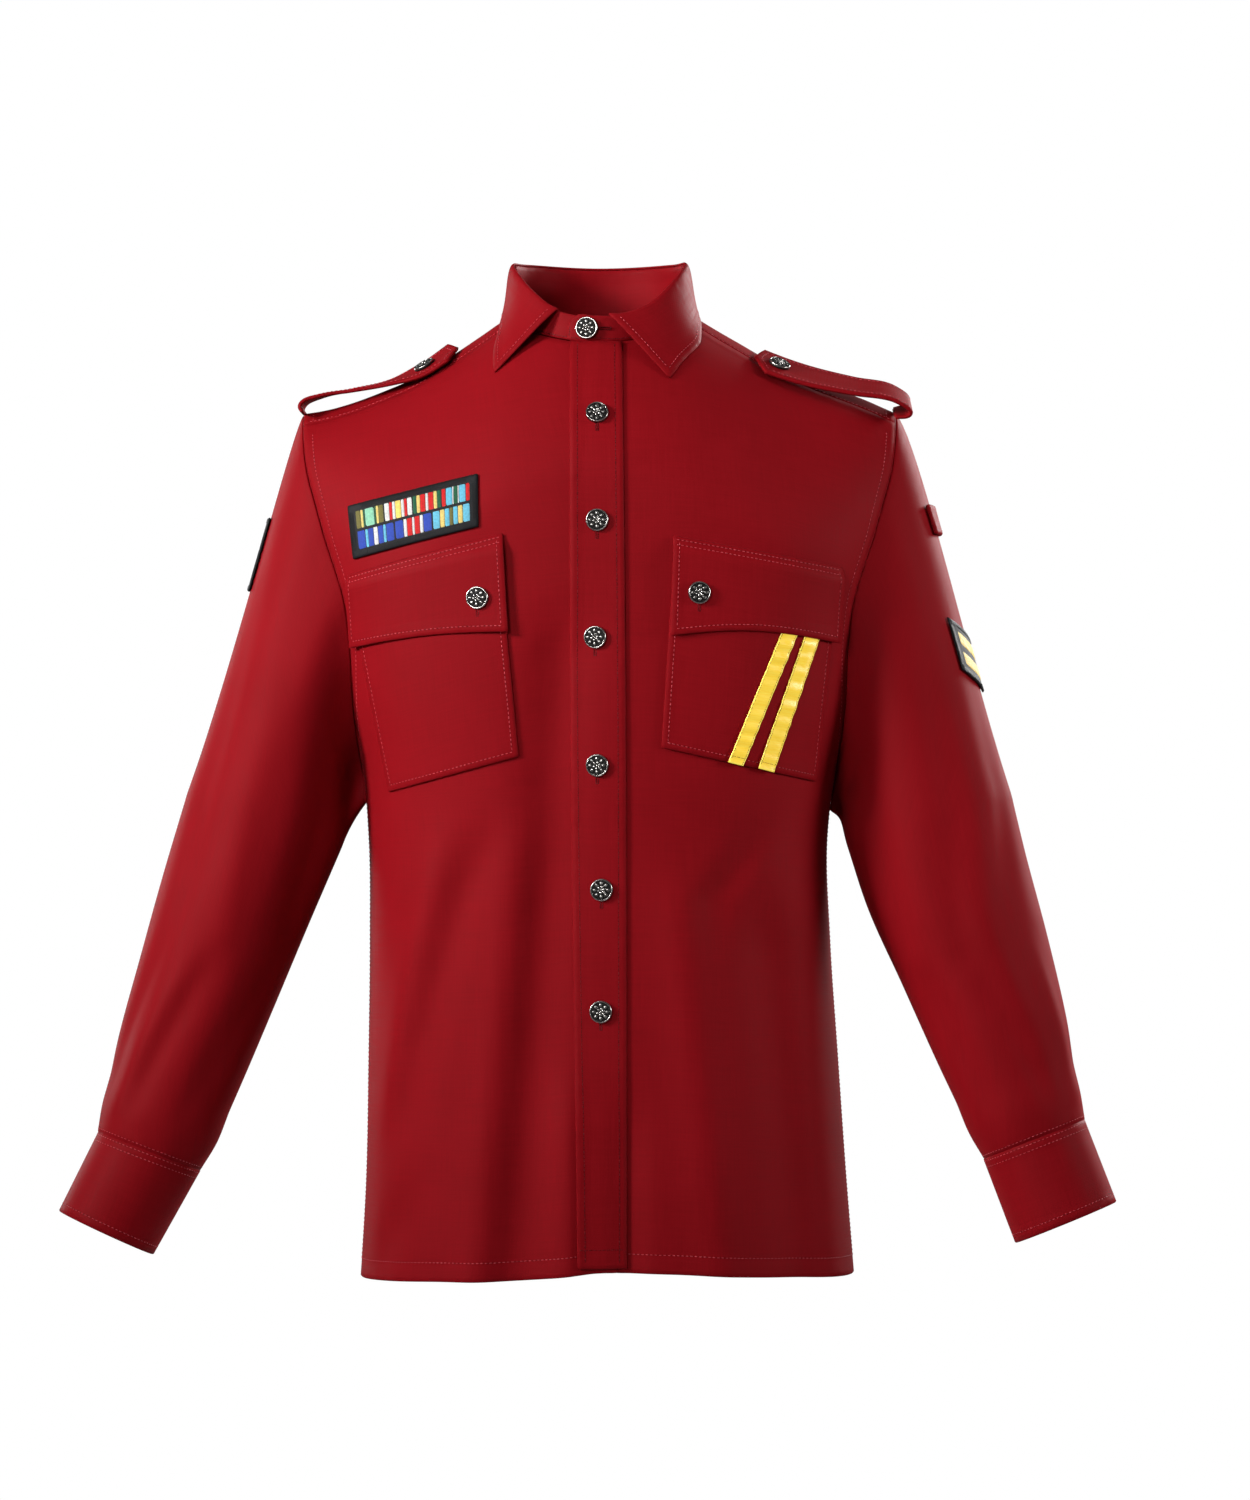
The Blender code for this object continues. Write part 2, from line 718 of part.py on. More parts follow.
def stand_grid(columns=28, rows=2):
    """The collar's stand, a band whose ends lap at the front."""
    grid = []
    turn = STAND_END - STAND_START
    per_degree = math.radians(1) * NECK_ACROSS
    for j in range(rows + 1):
        line = []
        for i in range(columns + 1):
            share = i / columns
            angle = STAND_START + turn * share
            lap = STAND_LAP * (2 * share - 1)
            low = neck_point(angle)
            low[2] += 2 * SEAM
            high = fold_point(angle, FIRM_WALL + 3 * SEAM)
            left_over = (STAND_END - angle) * per_degree
            if left_over < STAND_CORNER:
                short = 1 - math.sqrt(1 - (1 - left_over / STAND_CORNER) ** 2)
                high[2] -= short * STAND_CORNER
            spot = low + (high - low) * j / rows
            out = np.array([-math.sin(math.radians(angle)), -math.cos(math.radians(angle)), 0])
            line.append(spot + out * lap)
        grid.append(line)
    return np.array(grid)


def leaf_grid(columns=28, levels=(0, 0.07, 0.2, 0.5, 0.8, 1)):
    """The collar's leaf, from its fold down to its points. It is the leaf's under side."""
    grid = []
    for t in levels:
        line = []
        for i in range(columns + 1):
            share = i / columns
            angle = LEAF_START + (LEAF_END - LEAF_START) * share
            if angle < 180:
                edge = 180 - (180 - TIP_RIGHT) * (180 - angle) / (180 - LEAF_START)
            else:
                edge = 180 + (TIP_LEFT - 180) * (angle - 180) / (LEAF_END - 180)
            start = fold_point(angle, FIRM_WALL)
            e = math.radians(edge)
            reach = float(read(LEAF_EDGE, "angle", "reach", edge))
            end = np.array([-reach * math.sin(e), -NECK_BACK - reach * math.cos(e), 0.0])
            rest = height_over(end[0], end[1]) + LEAF_CLEAR
            end[2] = max(rest, start[2] - float(read(LEAF_EDGE, "angle", "depth", edge)))
            out = np.array([-math.sin((math.radians(angle) + e) / 2), -math.cos(e), 0])
            swell = LEAF_ROLL * math.sin(math.pi * t**0.6)
            line.append(start + (end - start) * t**LEAF_TURN + out * swell)
        grid.append(line)
    return np.array(grid)


def strap_grid(side, columns=16, rows=3):
    """An epaulette's under side, from the armhole's seam to its point."""
    strap = EPAULETTE[side]
    grid = []
    for j in range(rows + 1):
        line = []
        offset = 2 * j / rows - 1
        for i in range(columns + 1):
            share = i / columns
            across, height, forward, roll = (
                float(read(strap, "share", column, share))
                for column in ("across", "height", "forward", "roll")
            )
            cut_back = STRAP_POINT * abs(offset) * max(0, 1 - (1 - share) / STRAP_POINT_SHARE)
            narrowed = min(share / STRAP_NARROWS, 1)
            half = offset * (STRAP_SEAM_WIDTH + (STRAP_WIDTH - STRAP_SEAM_WIDTH) * narrowed) / 2
            line.append([
                side * (across + cut_back),
                -forward - half * math.cos(math.radians(roll)),
                height - cut_back / 2 - half * math.sin(math.radians(roll)),
            ])
        grid.append(line)
    return np.array(grid)


def cuff_grid(side, columns=22, rows=2):
    """A cuff: a band whose ends lap on the outer back."""
    grid = []
    heights = CUFF[side]["height"]
    whole = 360 + CUFF_LAP_TURN
    for j in range(rows + 1):
        z = heights.max() + (heights.min() - heights.max()) * j / rows
        line = []
        for i in range(columns + 1):
            share = i / columns
            turn = CUFF_START - whole * (1 - share)
            line.append(ring(side, CUFF[side], z, np.array([turn]), CUFF_LAP * (2 * share - 1))[0][0])
        grid.append(line)
    return np.array(grid)


def sleeve_piece_grid(sleeve, side, first, last, top, bottom, hang, rows=6):
    """A patch on a sleeve, with the sleeve's own edges among its columns, moved out."""
    step = 360 / sleeve.shape[1]
    inner = step * np.arange(math.floor(first / step) + 1, math.ceil(last / step))
    turns = [first, *inner, last]
    levels = np.linspace(0, 1, 4 * sleeve.shape[0])
    grid = []
    for turn in turns:
        u = turn / 360
        down_sleeve = [grid_place(sleeve, u, v)[2] for v in levels]
        aside = abs(2 * (turn - first) / (last - first) - 1)
        column = []
        for j in range(rows + 1):
            z = top + (bottom - top) * j / rows - hang * (1 - aside)
            v = float(np.interp(-z, -np.array(down_sleeve), levels))
            here = grid_place(sleeve, u, v)
            across = grid_place(sleeve, u + PATCH_STEP, v) - grid_place(sleeve, u - PATCH_STEP, v)
            below = grid_place(sleeve, u, v + PATCH_STEP) - here
            out = np.cross(across, below)
            out *= math.copysign(1, out[0] * side) / np.linalg.norm(out)
            column.append(here + out * PATCH_LIFT)
        grid.append(column)
    return np.array(grid).swapaxes(0, 1)


def material(name, colour, roughness, metallic=0.0):
    """A plain material for a piece."""
    made = bpy.data.materials.new(name)
    made.use_nodes = True
    shader = made.node_tree.nodes["Principled BSDF"]
    shader.inputs["Base Color"].default_value = (*colour, 1)
    shader.inputs["Roughness"].default_value = roughness
    shader.inputs["Metallic"].default_value = metallic
    return made


def place_in_scene(name, mesh, collection, colour, roughness, metallic=0.0):
    """A named piece with its mesh and its own material."""
    piece = bpy.data.objects.new(name, mesh)
    collection.objects.link(piece)
    mesh.materials.append(material(name, colour, roughness, metallic))
    mesh.shade_smooth()
    return piece


def sheet(name, grid, collection, outward, wall=WALL, out=False, closed=False,
          colour=CLOTH_RED, roughness=0.75):
    """A thin wall on a grid of points. Outward is a rough direction out of the grid's middle, or a
    centre line for a tube; out says that the wall grows outwards from the grid."""
    rows, columns = grid.shape[0] - 1, grid.shape[1] - 1
    if closed:
        grid = np.concatenate([grid, grid[:, :1]], axis=1)
        columns += 1
    maker = bmesh.new()
    bmesh.ops.create_grid(maker, x_segments=columns, y_segments=rows, size=1)
    for vertex in maker.verts:
        i = round((vertex.co.x + 1) / 2 * columns)
        j = round((vertex.co.y + 1) / 2 * rows)
        vertex.co = grid[j][i] * MM
    if closed:
        bmesh.ops.remove_doubles(maker, verts=maker.verts, dist=1e-7)
    maker.normal_update()
    facing = 0.0
    for face in maker.faces:
        middle = np.array(face.calc_center_median()) / MM
        facing += float(np.dot(np.array(face.normal), outward(middle))) * face.calc_area()
    if facing < 0:
        bmesh.ops.reverse_faces(maker, faces=maker.faces)
    mesh = bpy.data.meshes.new(name)
    maker.to_mesh(mesh)
    maker.free()
    piece = place_in_scene(name, mesh, collection, colour, roughness)
    solid = piece.modifiers.new("wall", "SOLIDIFY")
    solid.thickness = wall * MM
    solid.offset = 1 if out else -1
    solid.use_even_offset = False
    return piece


def from_spine(point):
    """Outwards from the body's upright middle line, and up on the shoulders."""
    return np.array([point[0] / 2, point[1], max(point[2] - SHOULDER_START, 0)])


def upwards(_):
    """The way out of what lies on a shoulder."""
    return np.array([0, 0, 1])


def from_arm(side):
    """Outwards from a sleeve's middle line."""
    rows = SLEEVE[side]
    heights = np.append(rows["height"], ARM_TOP[1])
    across = np.append(rows["across"], ARM_TOP[0])
    forward = np.append(rows["forward"], 0)

    def out(point):
        middle_x = side * np.interp(point[2], heights, across)
        return np.array([point[0] - middle_x, point[1] + np.interp(point[2], heights, forward), 0])

    return out


def button(name, collection, place, out):
    """A turned metal shank button with a raised rim, seated on the cloth at a place."""
    profile = (
        (0.0, 0.0),
        (0.72, 0.0),
        (1.0, 0.32),
        (0.93, 0.92),
        (0.80, 1.0),
        (0.72, 0.72),
        (0.0, 0.86),
    )
    maker = bmesh.new()
    line = [maker.verts.new((BUTTON_RADIUS * r * MM, 0, BUTTON_HEIGHT * h * MM)) for r, h in profile]
    edges = [maker.edges.new(pair) for pair in zip(line, line[1:])]
    bmesh.ops.spin(
        maker,
        geom=line + edges,
        angle=2 * math.pi,
        steps=BUTTON_SIDES,
        axis=(0, 0, 1),
        cent=(0, 0, 0),
        use_merge=True,
        use_duplicate=False,
    )
    bmesh.ops.remove_doubles(maker, verts=maker.verts, dist=1e-6)
    bmesh.ops.recalc_face_normals(maker, faces=maker.faces)
    mesh = bpy.data.meshes.new(name)
    maker.to_mesh(mesh)
    maker.free()
    piece = place_in_scene(name, mesh, collection, METAL, 0.35, 1.0)
    piece.rotation_mode = "QUATERNION"
    piece.rotation_quaternion = Vector(out).to_track_quat("Z", "Y")
    piece.location = Vector(np.array(place) * MM)


def build():
    """Cuts and sews the whole shirt."""
    for old in list(bpy.data.objects):
        bpy.data.objects.remove(old, do_unlink=True)
    shirt = bpy.data.collections.new(NAME)
    bpy.context.scene.collection.children.link(shirt)

    corner = CORNER_ACROSS
    fronts = {
        RIGHT: panel(FRONT, ((RIGHT, -corner, 8), (-corner, FRONTS_MEET - SEAM, 5)), 12, 13, front_top),
        LEFT: panel(FRONT, ((FRONTS_MEET + SEAM, corner, 3), (corner, LEFT, 8)), 12, 13, front_top),
    }
    sheet("front_right", fronts[RIGHT], shirt, from_spine)
    sheet("front_left", fronts[LEFT], shirt, from_spine)
    sheet("back", panel(BACK, ((RIGHT, LEFT, 18),), 11, 10, yoke_back), shirt, from_spine)
    sheet("yoke", yoke_grid(), shirt, from_spine)
    sheet("placket", placket_grid(), shirt, from_spine, out=True)
    sheet("collar_stand", stand_grid(), shirt, from_spine, wall=FIRM_WALL)
    sheet("collar_leaf", leaf_grid(), shirt, from_spine, wall=FIRM_WALL, out=True)

    sleeves = {}
    for side, word in ((RIGHT, "right"), (LEFT, "left")):
        sleeves[side] = sleeve_grid(side, 20, 8, 11)
        sheet("sleeve_" + word, sleeves[side], shirt, from_arm(side), closed=True)
        sheet("cuff_" + word, cuff_grid(side), shirt, from_arm(side), wall=FIRM_WALL)
        sheet("pocket_" + word, front_piece(POCKET[side], 10, 6, LIFT), shirt, from_spine, out=True)
        sheet("flap_" + word, flap_grid(side), shirt, from_spine, wall=FIRM_WALL, out=True)
        sheet("epaulette_" + word, strap_grid(side), shirt, upwards, wall=STRAP_WALL, out=True)

    for name, (side, first, last, top, bottom, hang, wall) in SLEEVE_PIECES.items():
        grid = sleeve_piece_grid(sleeves[side], side, first, last, top, bottom, hang)
        colour = CLOTH_RED if name == "sleeve_tab" else BLACK
        sheet(name, grid, shirt, from_arm(side), wall=wall, out=True, colour=colour)
    sheet("ribbon_patch", front_piece(RIBBON_PATCH, 8, 3, LIFT), shirt, from_spine,
          wall=PATCH_WALL, out=True, colour=BLACK)
    for name, corners in STRIPES.items():
        sheet(name, front_piece(corners, 1, 5, LIFT + WALL + SEAM), shirt, from_spine,
              wall=SATIN_WALL, out=True, colour=GOLD, roughness=0.35)

    add_buttons(shirt)


def add_buttons(shirt):
    """The buttons of the placket, collar, flaps, epaulettes and cuffs."""
    for i, (x, z) in enumerate(zip(FRONT_BUTTONS["across"], FRONT_BUTTONS["height"])):
        place, out = on_front(x, z, LIFT + WALL + BUTTON_SEAT)
        button(f"button_{i + 1}", shirt, place, out)
    a = math.radians(COLLAR_BUTTON_ANGLE)
    place = neck_point(COLLAR_BUTTON_ANGLE)
    out = np.array([-math.sin(a), -math.cos(a), 0.1])
    place[2] = COLLAR_BUTTON_HEIGHT
    button("button_collar", shirt, place + out * (STAND_LAP + 2 * BUTTON_SEAT), out)
    for side, word in ((RIGHT, "right"), (LEFT, "left")):
        place, out = on_front(*FLAP_BUTTONS[side], FLAP_STAND + FIRM_WALL + BUTTON_SEAT)
        button("button_flap_" + word, shirt, place, out)

        strap = strap_grid(side, 100, 2)[1]
        i = round(STRAP_BUTTON_SHARE[side] * 100)
        run = strap[i + 3] - strap[i - 3]
        roll = math.radians(float(read(EPAULETTE[side], "share", "roll", STRAP_BUTTON_SHARE[side])))
        out = np.cross(run, np.array([0, math.cos(roll), math.sin(roll)]))
        out = out / np.linalg.norm(out) * math.copysign(1, out[2])
        button("button_epaulette_" + word, shirt, strap[i] + out * (STRAP_WALL + BUTTON_SEAT), out)

        z = float(np.mean(CUFF[side]["height"]))
        turn = np.array([CUFF_BUTTON_ANGLE])
        spot = ring(side, CUFF[side], z, turn, CUFF_LAP + 1.4 * BUTTON_SEAT)[0][0]
        inner = ring(side, CUFF[side], z, turn)[0][0]
        button("button_cuff_" + word, shirt, spot, spot - inner)


build()
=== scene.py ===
"""The guard shirt as it looks: woven cloth with its folds, sewing, patches, ribbons and buttons.

Metres, +Z up. The front faces -Y, the wearer's right is -X, and the origin is the middle of the neck's
base. The form is worked out in millimetres, and MM turns it into metres where a mesh is made.
"""

import math

import bmesh
import bpy
import numpy as np
from mathutils import Matrix, Vector


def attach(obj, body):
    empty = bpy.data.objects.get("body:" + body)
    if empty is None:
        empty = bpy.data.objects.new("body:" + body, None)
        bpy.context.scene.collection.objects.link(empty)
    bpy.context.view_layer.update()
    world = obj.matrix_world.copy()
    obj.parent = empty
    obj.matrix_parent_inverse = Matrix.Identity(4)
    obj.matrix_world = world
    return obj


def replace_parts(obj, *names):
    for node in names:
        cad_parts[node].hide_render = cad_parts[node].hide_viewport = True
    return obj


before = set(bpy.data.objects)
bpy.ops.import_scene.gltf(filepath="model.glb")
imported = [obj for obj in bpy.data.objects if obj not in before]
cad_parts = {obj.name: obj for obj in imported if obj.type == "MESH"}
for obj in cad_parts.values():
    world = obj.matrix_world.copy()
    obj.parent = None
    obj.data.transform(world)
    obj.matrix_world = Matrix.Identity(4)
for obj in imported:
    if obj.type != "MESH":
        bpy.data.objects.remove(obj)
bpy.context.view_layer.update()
bpy.ops.object.select_all(action="DESELECT")

MM = 0.001
RIGHT, LEFT = -1, 1  # the wearer's sides, as signs of X
SIDES = ((RIGHT, "right"), (LEFT, "left"))
FRONT, BACK = 1, -1


def table(names, rows):
    """A short table as one array for each named column."""
    return dict(zip(names.split(), np.array(rows, float).T))


# Cloth, and the spaces between pieces
WALL = 1.4  # shirt cloth
FIRM_WALL = 1.6  # interfaced cloth: collar, cuffs and flaps
STRAP_WALL = 3.0  # an epaulette, two layers and its interfacing
PATCH_WALL = 1.4
SATIN_WALL = 0.7
SEAM = 0.4  # half of the space at a seam
LIFT = 0.8  # a piece sewn on a panel stands this far off it

# The body's form. Across is measured from the centre line, height from the neck's base.
SQUARENESS = 2.4  # of its oval sections
BODY = table("height right left front back", [
    (-745, 187, 200, 124, 118),
    (-660, 182, 193, 122, 115),
    (-560, 180, 186, 120, 109),
    (-470, 179, 180, 120, 106),
    (-390, 180, 178, 122, 107),
    (-335, 185, 185, 126, 110),
    (-290, 196, 196, 128, 113),
    (-238, 207, 206, 129, 117),
    (-187, 222, 221, 128, 119),
    (-132, 243, 242, 126, 118),
    (-60, 262, 261, 124, 116),
    (40, 262, 261, 122, 114),
])
# The shoulder line, where front meets back, on the wearer's right and left
RIDGE = table("across right left", [
    (0, 37, 37),
    (35, 31, 31),
    (70, 16, 18),
    (92, 1, 5),
    (111, -12, -6),
    (128, -23, -16),
    (146, -33, -25),
    (167, -42, -34),
    (194, -52, -44),
    (212, -57, -51),
    (230, -60, -59),
    (262, -63, -66),
])
# How the cloth rolls over the shoulder line: how far below it the form is full, and how rounded it is
ROLL = {FRONT: (150, 1.6), BACK: (110, 1.8)}
ARMPIT = -362
ARMHOLE = table("height edge", [
    (-362, 181),
    (-340, 183.8),
    (-320, 186.5),
    (-290, 189.5),
    (-238, 191.5),
    (-204, 196),
    (-187, 201),
    (-160, 210),
    (-132, 218),
    (-105, 225.5),
    (-80, 229),
    (-60, 230),
])
SHOULDER_TIP = 230
# The hem's height in front on the wearer's right and left, and how much lower the back hangs
HEM = table("across right left back_drop", [
    (0, -719, -719, 17),
    (60, -725.5, -720.5, 13),
    (130, -728, -724.5, 6),
    (200, -732.5, -729, 0),
])

# The neck: an upright oval tube that meets the form
NECK_ACROSS, NECK_DEPTH, NECK_BACK = 70, 67, 7
NECK_SIDE = 89  # the angle where its front half ends, just short of the side

# Broad soft folds: where each starts and ends, its half width, and how far it goes in (-) or out (+)
FOLDS = table("face top_across top_height end_across end_height width depth", [
    (FRONT, -25, -190, -64, -760, 24, -7.0),
    (FRONT, -57, -350, -98, -760, 17, 4.5),
    (FRONT, -116, -365, -168, -590, 13, 4.0),
    (FRONT, -84, -365, -142, -580, 14, -4.0),
    (FRONT, -126, -630, -172, -720, 16, -3.5),
    (FRONT, -25, -550, -25, -760, 13, 4.5),
    (FRONT, 22, -560, 22, -760, 14, -5.5),
    (FRONT, 56, -400, 98, -760, 20, 6.0),
    (FRONT, 122, -410, 156, -760, 20, -7.0),
    (FRONT, 150, -340, 100, -420, 14, -3.5),
    (BACK, -120, -330, -98, -760, 22, -8.0),
    (BACK, -52, -420, -46, -760, 20, 7.0),
    (BACK, 26, -400, 20, -760, 19, -7.5),
    (BACK, 108, -360, 88, -760, 22, -8.0),
    (BACK, 142, -470, 146, -760, 17, 5.0),
])
FOLD_FADE = 70  # the length over which a fold begins and ends
FOLD_OVERRUN = 1.2  # how far a fold's course runs on, in its lengths
FOLD_SIDE = 0.12  # the share of the half width, from the side inwards, over which folds fade

# The yoke's seams, as drops below the shoulder line and as heights
YOKE_FRONT_DROP = 9
YOKE_BACK_CENTRE, YOKE_BACK_SLOPE = -62, 33

# Sleeves, from the biceps down to the cuff's seam, then the cuff. Forward is towards the front, lean
# is the section's angle from level, in degrees.
SLEEVE = {
    RIGHT: table("height across forward width depth lean", [
        (-633, 348.5, 37, 88, 87, 21),
        (-609, 339.5, 35, 92, 92, 20),
        (-563, 324.7, 31, 102, 100, 19),
        (-502, 304, 25, 111, 107, 19),
        (-440, 282.9, 19, 119.5, 115, 19.3),
        (-377.5, 260.7, 12, 127.5, 121, 19.6),
    ]),
    LEFT: table("height across forward width depth lean", [
        (-624, 337.0, 36, 87, 87, 21.5),
        (-605, 330.0, 35, 89.5, 91, 20.5),
        (-548, 312.3, 29, 106, 103, 18.5),
        (-486, 291.7, 23, 119, 112, 18.7),
        (-424, 270, 16.5, 130, 121, 18.5),
        (-377.5, 257, 12, 134, 126, 17.8),
    ]),
}
CUFF = {
    RIGHT: table(
        "height across forward width depth lean",
        [(-695.5, 381.4, 42, 80.5, 80, 25), (-633.6, 348.8, 37, 84.5, 84, 21)],
    ),
    LEFT: table(
        "height across forward width depth lean",
        [(-687.5, 361.2, 42, 84.5, 82, 22.3), (-624.6, 337.3, 36, 84, 84, 21.5)],
    ),
}
FORWARD_LEAN = 5  # of a sleeve's sections, in degrees
# How a sleeve leaves the armhole at its top: angle from straight down, and how strongly
CAP_ANGLE = {RIGHT: 36, LEFT: 46}
CAP_PUSH = {RIGHT: 45, LEFT: 70}
CAP_SPACE, CAP_SPACE_TOP = 1.5, 1.2  # between the armhole's edge and the sleeve, and more at the top
CAP_CLOSE = 1.25  # how much closer the rings lie at the armhole
# Which way a sleeve leaves the armhole's sides and the armpit (outwards, up), and how strongly
CAP_SIDE, CAP_SIDE_PUSH = (0.75, -0.65), 0.55
CAP_PIT, CAP_PIT_PUSH = (0.62, -0.78), 0.9
ARM_TOP = (205, -150)  # across and height where a sleeve's middle line meets the armhole

# The collar. Angle runs round the neck from the centre front over the wearer's right, in degrees.
FOLD_ACROSS, FOLD_DEPTH = 66.5, 67
COLLAR = table("angle fold", [
    (-20, 14.5),
    (0, 12.5),
    (20, 14),
    (35, 20.5),
    (50, 32),
    (70, 47),
    (90, 56),
    (120, 59),
    (180, 59),
    (240, 59),
    (270, 57),
    (290, 48),
    (310, 33),
    (325, 21),
    (340, 14),
    (360, 12.5),
    (381, 14.5),
])
STAND_START, STAND_END = -5, 380.3  # the wearer's left end laps over the right one
STAND_LAP = 1.0  # each end's distance from the middle of the wall
STAND_CORNER = 8  # radius of the lapping end's top corner
LEAF_START, LEAF_END = 28.6, 353
TIP_RIGHT, TIP_LEFT = 51.3, 326.5  # where the leaf's points lie round the neck
LEAF_EDGE = table("angle reach depth", [
    (30, 106, 90),
    (51, 102, 90),
    (60, 93, 90),
    (70, 82.5, 74),
    (90, 75, 52),
    (135, 78, 44),
    (180, 79, 42),
    (225, 78, 44),
    (270, 76.5, 52),
    (290, 83, 74),
    (300, 88.5, 90),
    (308, 90, 90),
    (317, 92.5, 90),
    (327, 98, 90),
])
LEAF_CLEAR = 1.0
LEAF_ROLL = 2.4  # how far the leaf swells outwards between its fold and its edge
LEAF_CROWN = 0.6  # under 1, it swells most near its fold
LEAF_TURN = 1.3  # how steeply the leaf falls from its fold

# The placket, by height: its free edge and its sewn edge
PLACKET = table("height free sewn", [(-716, -15.8, 20.8), (-238, -21.0, 19.6), (0, -21.6, 17.0)])
PLACKET_TOP_SPACE = 1.2  # between the placket's top and the collar's seam
FRONTS_MEET = 14  # where the two fronts end under the placket

# Pockets, by their corners as (across, height): top inner, top outer, bottom outer, bottom inner
POCKET = {
    RIGHT: ((-75.5, -174), (-190.5, -203), (-160, -354.5), (-61.2, -327.5)),
    LEFT: ((57.5, -174), (182, -196), (165.5, -346.5), (48, -320.7)),
}
FLAP = {
    RIGHT: ((-73, -159.5), (-191.5, -189.5), (-187, -243.5), (-68.7, -233)),
    LEFT: ((57, -161.5), (185.5, -183.7), (180.5, -240), (54.5, -236)),
}
FLAP_BOW = {RIGHT: 3, LEFT: 6}  # how far the flap's lower edge is lifted at its middle
FLAP_STAND = 4.2  # the flap's distance off the front where it covers the pocket
FLAP_SEWN, FLAP_RISEN = 0.04, 0.16  # the shares of its height between which it rises

# Satin ribbons on the wearer's left pocket: top inner, top outer, bottom outer, bottom inner
STRIPES = {
    "stripe_inner": ((138.9, -230), (150.6, -231.5), (108.2, -334.6), (97.2, -331.8)),
    "stripe_outer": ((156.4, -232), (167.4, -233.5), (131.2, -339.4), (119.8, -336.4)),
}
# The patch of ribbon bars: top inner, top outer, bottom outer, bottom inner
RIBBON_PATCH = ((-91.8, -114), (-191.7, -136.6), (-187, -176.5), (-91.5, -153.4))

# Patches on the sleeves: where each starts and ends round the sleeve, in degrees from its outer side
# to the front, its top's and bottom's height, how far its middle hangs down, and its wall
SLEEVE_PIECES = {
    "sleeve_patch": (RIGHT, -40, 9, -143, -199, 0, PATCH_WALL),
    "chevron_patch": (LEFT, -35, 35, -221, -261, 17, PATCH_WALL),
    "sleeve_tab": (LEFT, -12, 18, -134, -155, 0, STRAP_WALL),
}
PATCH_LIFT, PATCH_STEP = 0.96, 0.03  # a patch's distance off the sleeve; a short way on its grid

# Epaulettes, from the armhole's seam over the arch to the buttoned end: across and height of the
# strap's middle, how far it lies forward, and its roll towards the front in degrees
EPAULETTE = {
    RIGHT: table("share across height forward roll", [
        (0.00, 230.0, -58.6, 0, 0),
        (0.06, 231.5, -55.8, 0, 0),
        (0.13, 228.0, -51.6, 0, 1),
        (0.22, 216.0, -47.6, 0, 3),
        (0.42, 193.0, -43.5, 0, 5),
        (0.66, 160.0, -36.6, 4, 9),
        (0.80, 139.0, -28.6, 9, 18),
        (1.00, 110.0, -11.4, 12, 22),
    ]),
    LEFT: table("share across height forward roll", [
        (0.00, 230.3, -58.8, 9, 12),
        (0.06, 238.0, -57.6, 11, 15),
        (0.13, 240.0, -54.0, 13, 18),
        (0.22, 229.0, -47.2, 17, 20),
        (0.42, 198.0, -41.5, 20, 22),
        (0.66, 163.0, -34.0, 23, 25),
        (0.82, 141.0, -27.4, 25, 27),
        (1.00, 121.0, -19.2, 26, 28),
    ]),
}
STRAP_WIDTH, STRAP_SEAM_WIDTH = 40, 44
STRAP_NARROWS = 0.33  # the share of its length over which a strap narrows from its seam
STRAP_POINT, STRAP_POINT_SHARE = 7, 0.15  # how far its corners are cut back, and over what share

# Buttons, and where each lies: front buttons by height, the others by place
FRONT_BUTTONS = table(
    "across height",
    [(-1.2, -68), (-1.2, -149), (-2.2, -237.5), (-0.8, -334.5), (2.2, -429), (1.6, -521.5)],
)
COLLAR_BUTTON_ANGLE, COLLAR_BUTTON_HEIGHT = 7.5, 0.5
COLLAR_BUTTON_RISE = 0.1  # how far it looks up
FLAP_BUTTONS = {RIGHT: (-90.7, -207.7), LEFT: (75.3, -204)}
STRAP_BUTTON_SHARE = {RIGHT: 0.83, LEFT: 0.845}
CUFF_BUTTON_ANGLE = 262  # round the cuff from its outer side, over the front, in degrees
CUFF_START, CUFF_LAP_TURN = 281, 38  # where a cuff's band ends, and how far its ends lap, in degrees
CUFF_LAP = 1.0  # each end's distance from the middle of the wall
BUTTON_SEAT = 0.5  # a button's distance from the cloth under it

SHOULDER_START = -90  # the height from which outwards also means up
ROW_POINTS = 120  # of a line before its columns are spaced on it
ARMHOLE_POINTS = 200  # of half of the armhole's seam before they are spaced
SETTLE = 6  # rounds in which a place that depends on its own height comes to rest
SHORT_WAY = 2.0  # on the fronts, to tell which way they face


def smooth(share):
    """A share that leaves 0 and reaches 1 gently."""
    t = np.clip(share, 0, 1)
    return t**2 * (3 - 2 * t)


def eased(t, start, leave, end, arrive):
    """A smooth way from a start to an end, at shares of it, that leaves and arrives as given."""
    return (
        (1 + 2 * t) * (1 - t) ** 2 * start
        + t * (1 - t) ** 2 * leave
        + t**2 * (3 - 2 * t) * end
        - t**2 * (1 - t) * arrive
    )


def unit(way):
    """Ways of length 1."""
    return way / np.linalg.norm(way, axis=-1, keepdims=True)


def read(rows, key, column, at):
    """A column of a table at places between its rows, on a smooth line through them."""
    keys, values = rows[key], rows[column]
    slopes = np.gradient(values, keys)
    at = np.clip(at, keys.min(), keys.max())
    i = np.clip(np.searchsorted(keys, at) - 1, 0, len(keys) - 2)
    width = keys[i + 1] - keys[i]
    t = (at - keys[i]) / width
    return eased(t, values[i], width * slopes[i], values[i + 1], width * slopes[i + 1])


def points(x, y, z):
    """Places with these coordinates, each one value or an array."""
    return np.stack(np.broadcast_arrays(x, y, z), axis=-1).astype(float)


def along(line, shares):
    """Points of a line at shares of its length."""
    steps = np.linalg.norm(np.diff(line, axis=0), axis=1)
    run = np.concatenate([[0], np.cumsum(steps)])
    places = np.asarray(shares) * run[-1]
    return np.stack([np.interp(places, run, line[:, k]) for k in range(3)], axis=1)


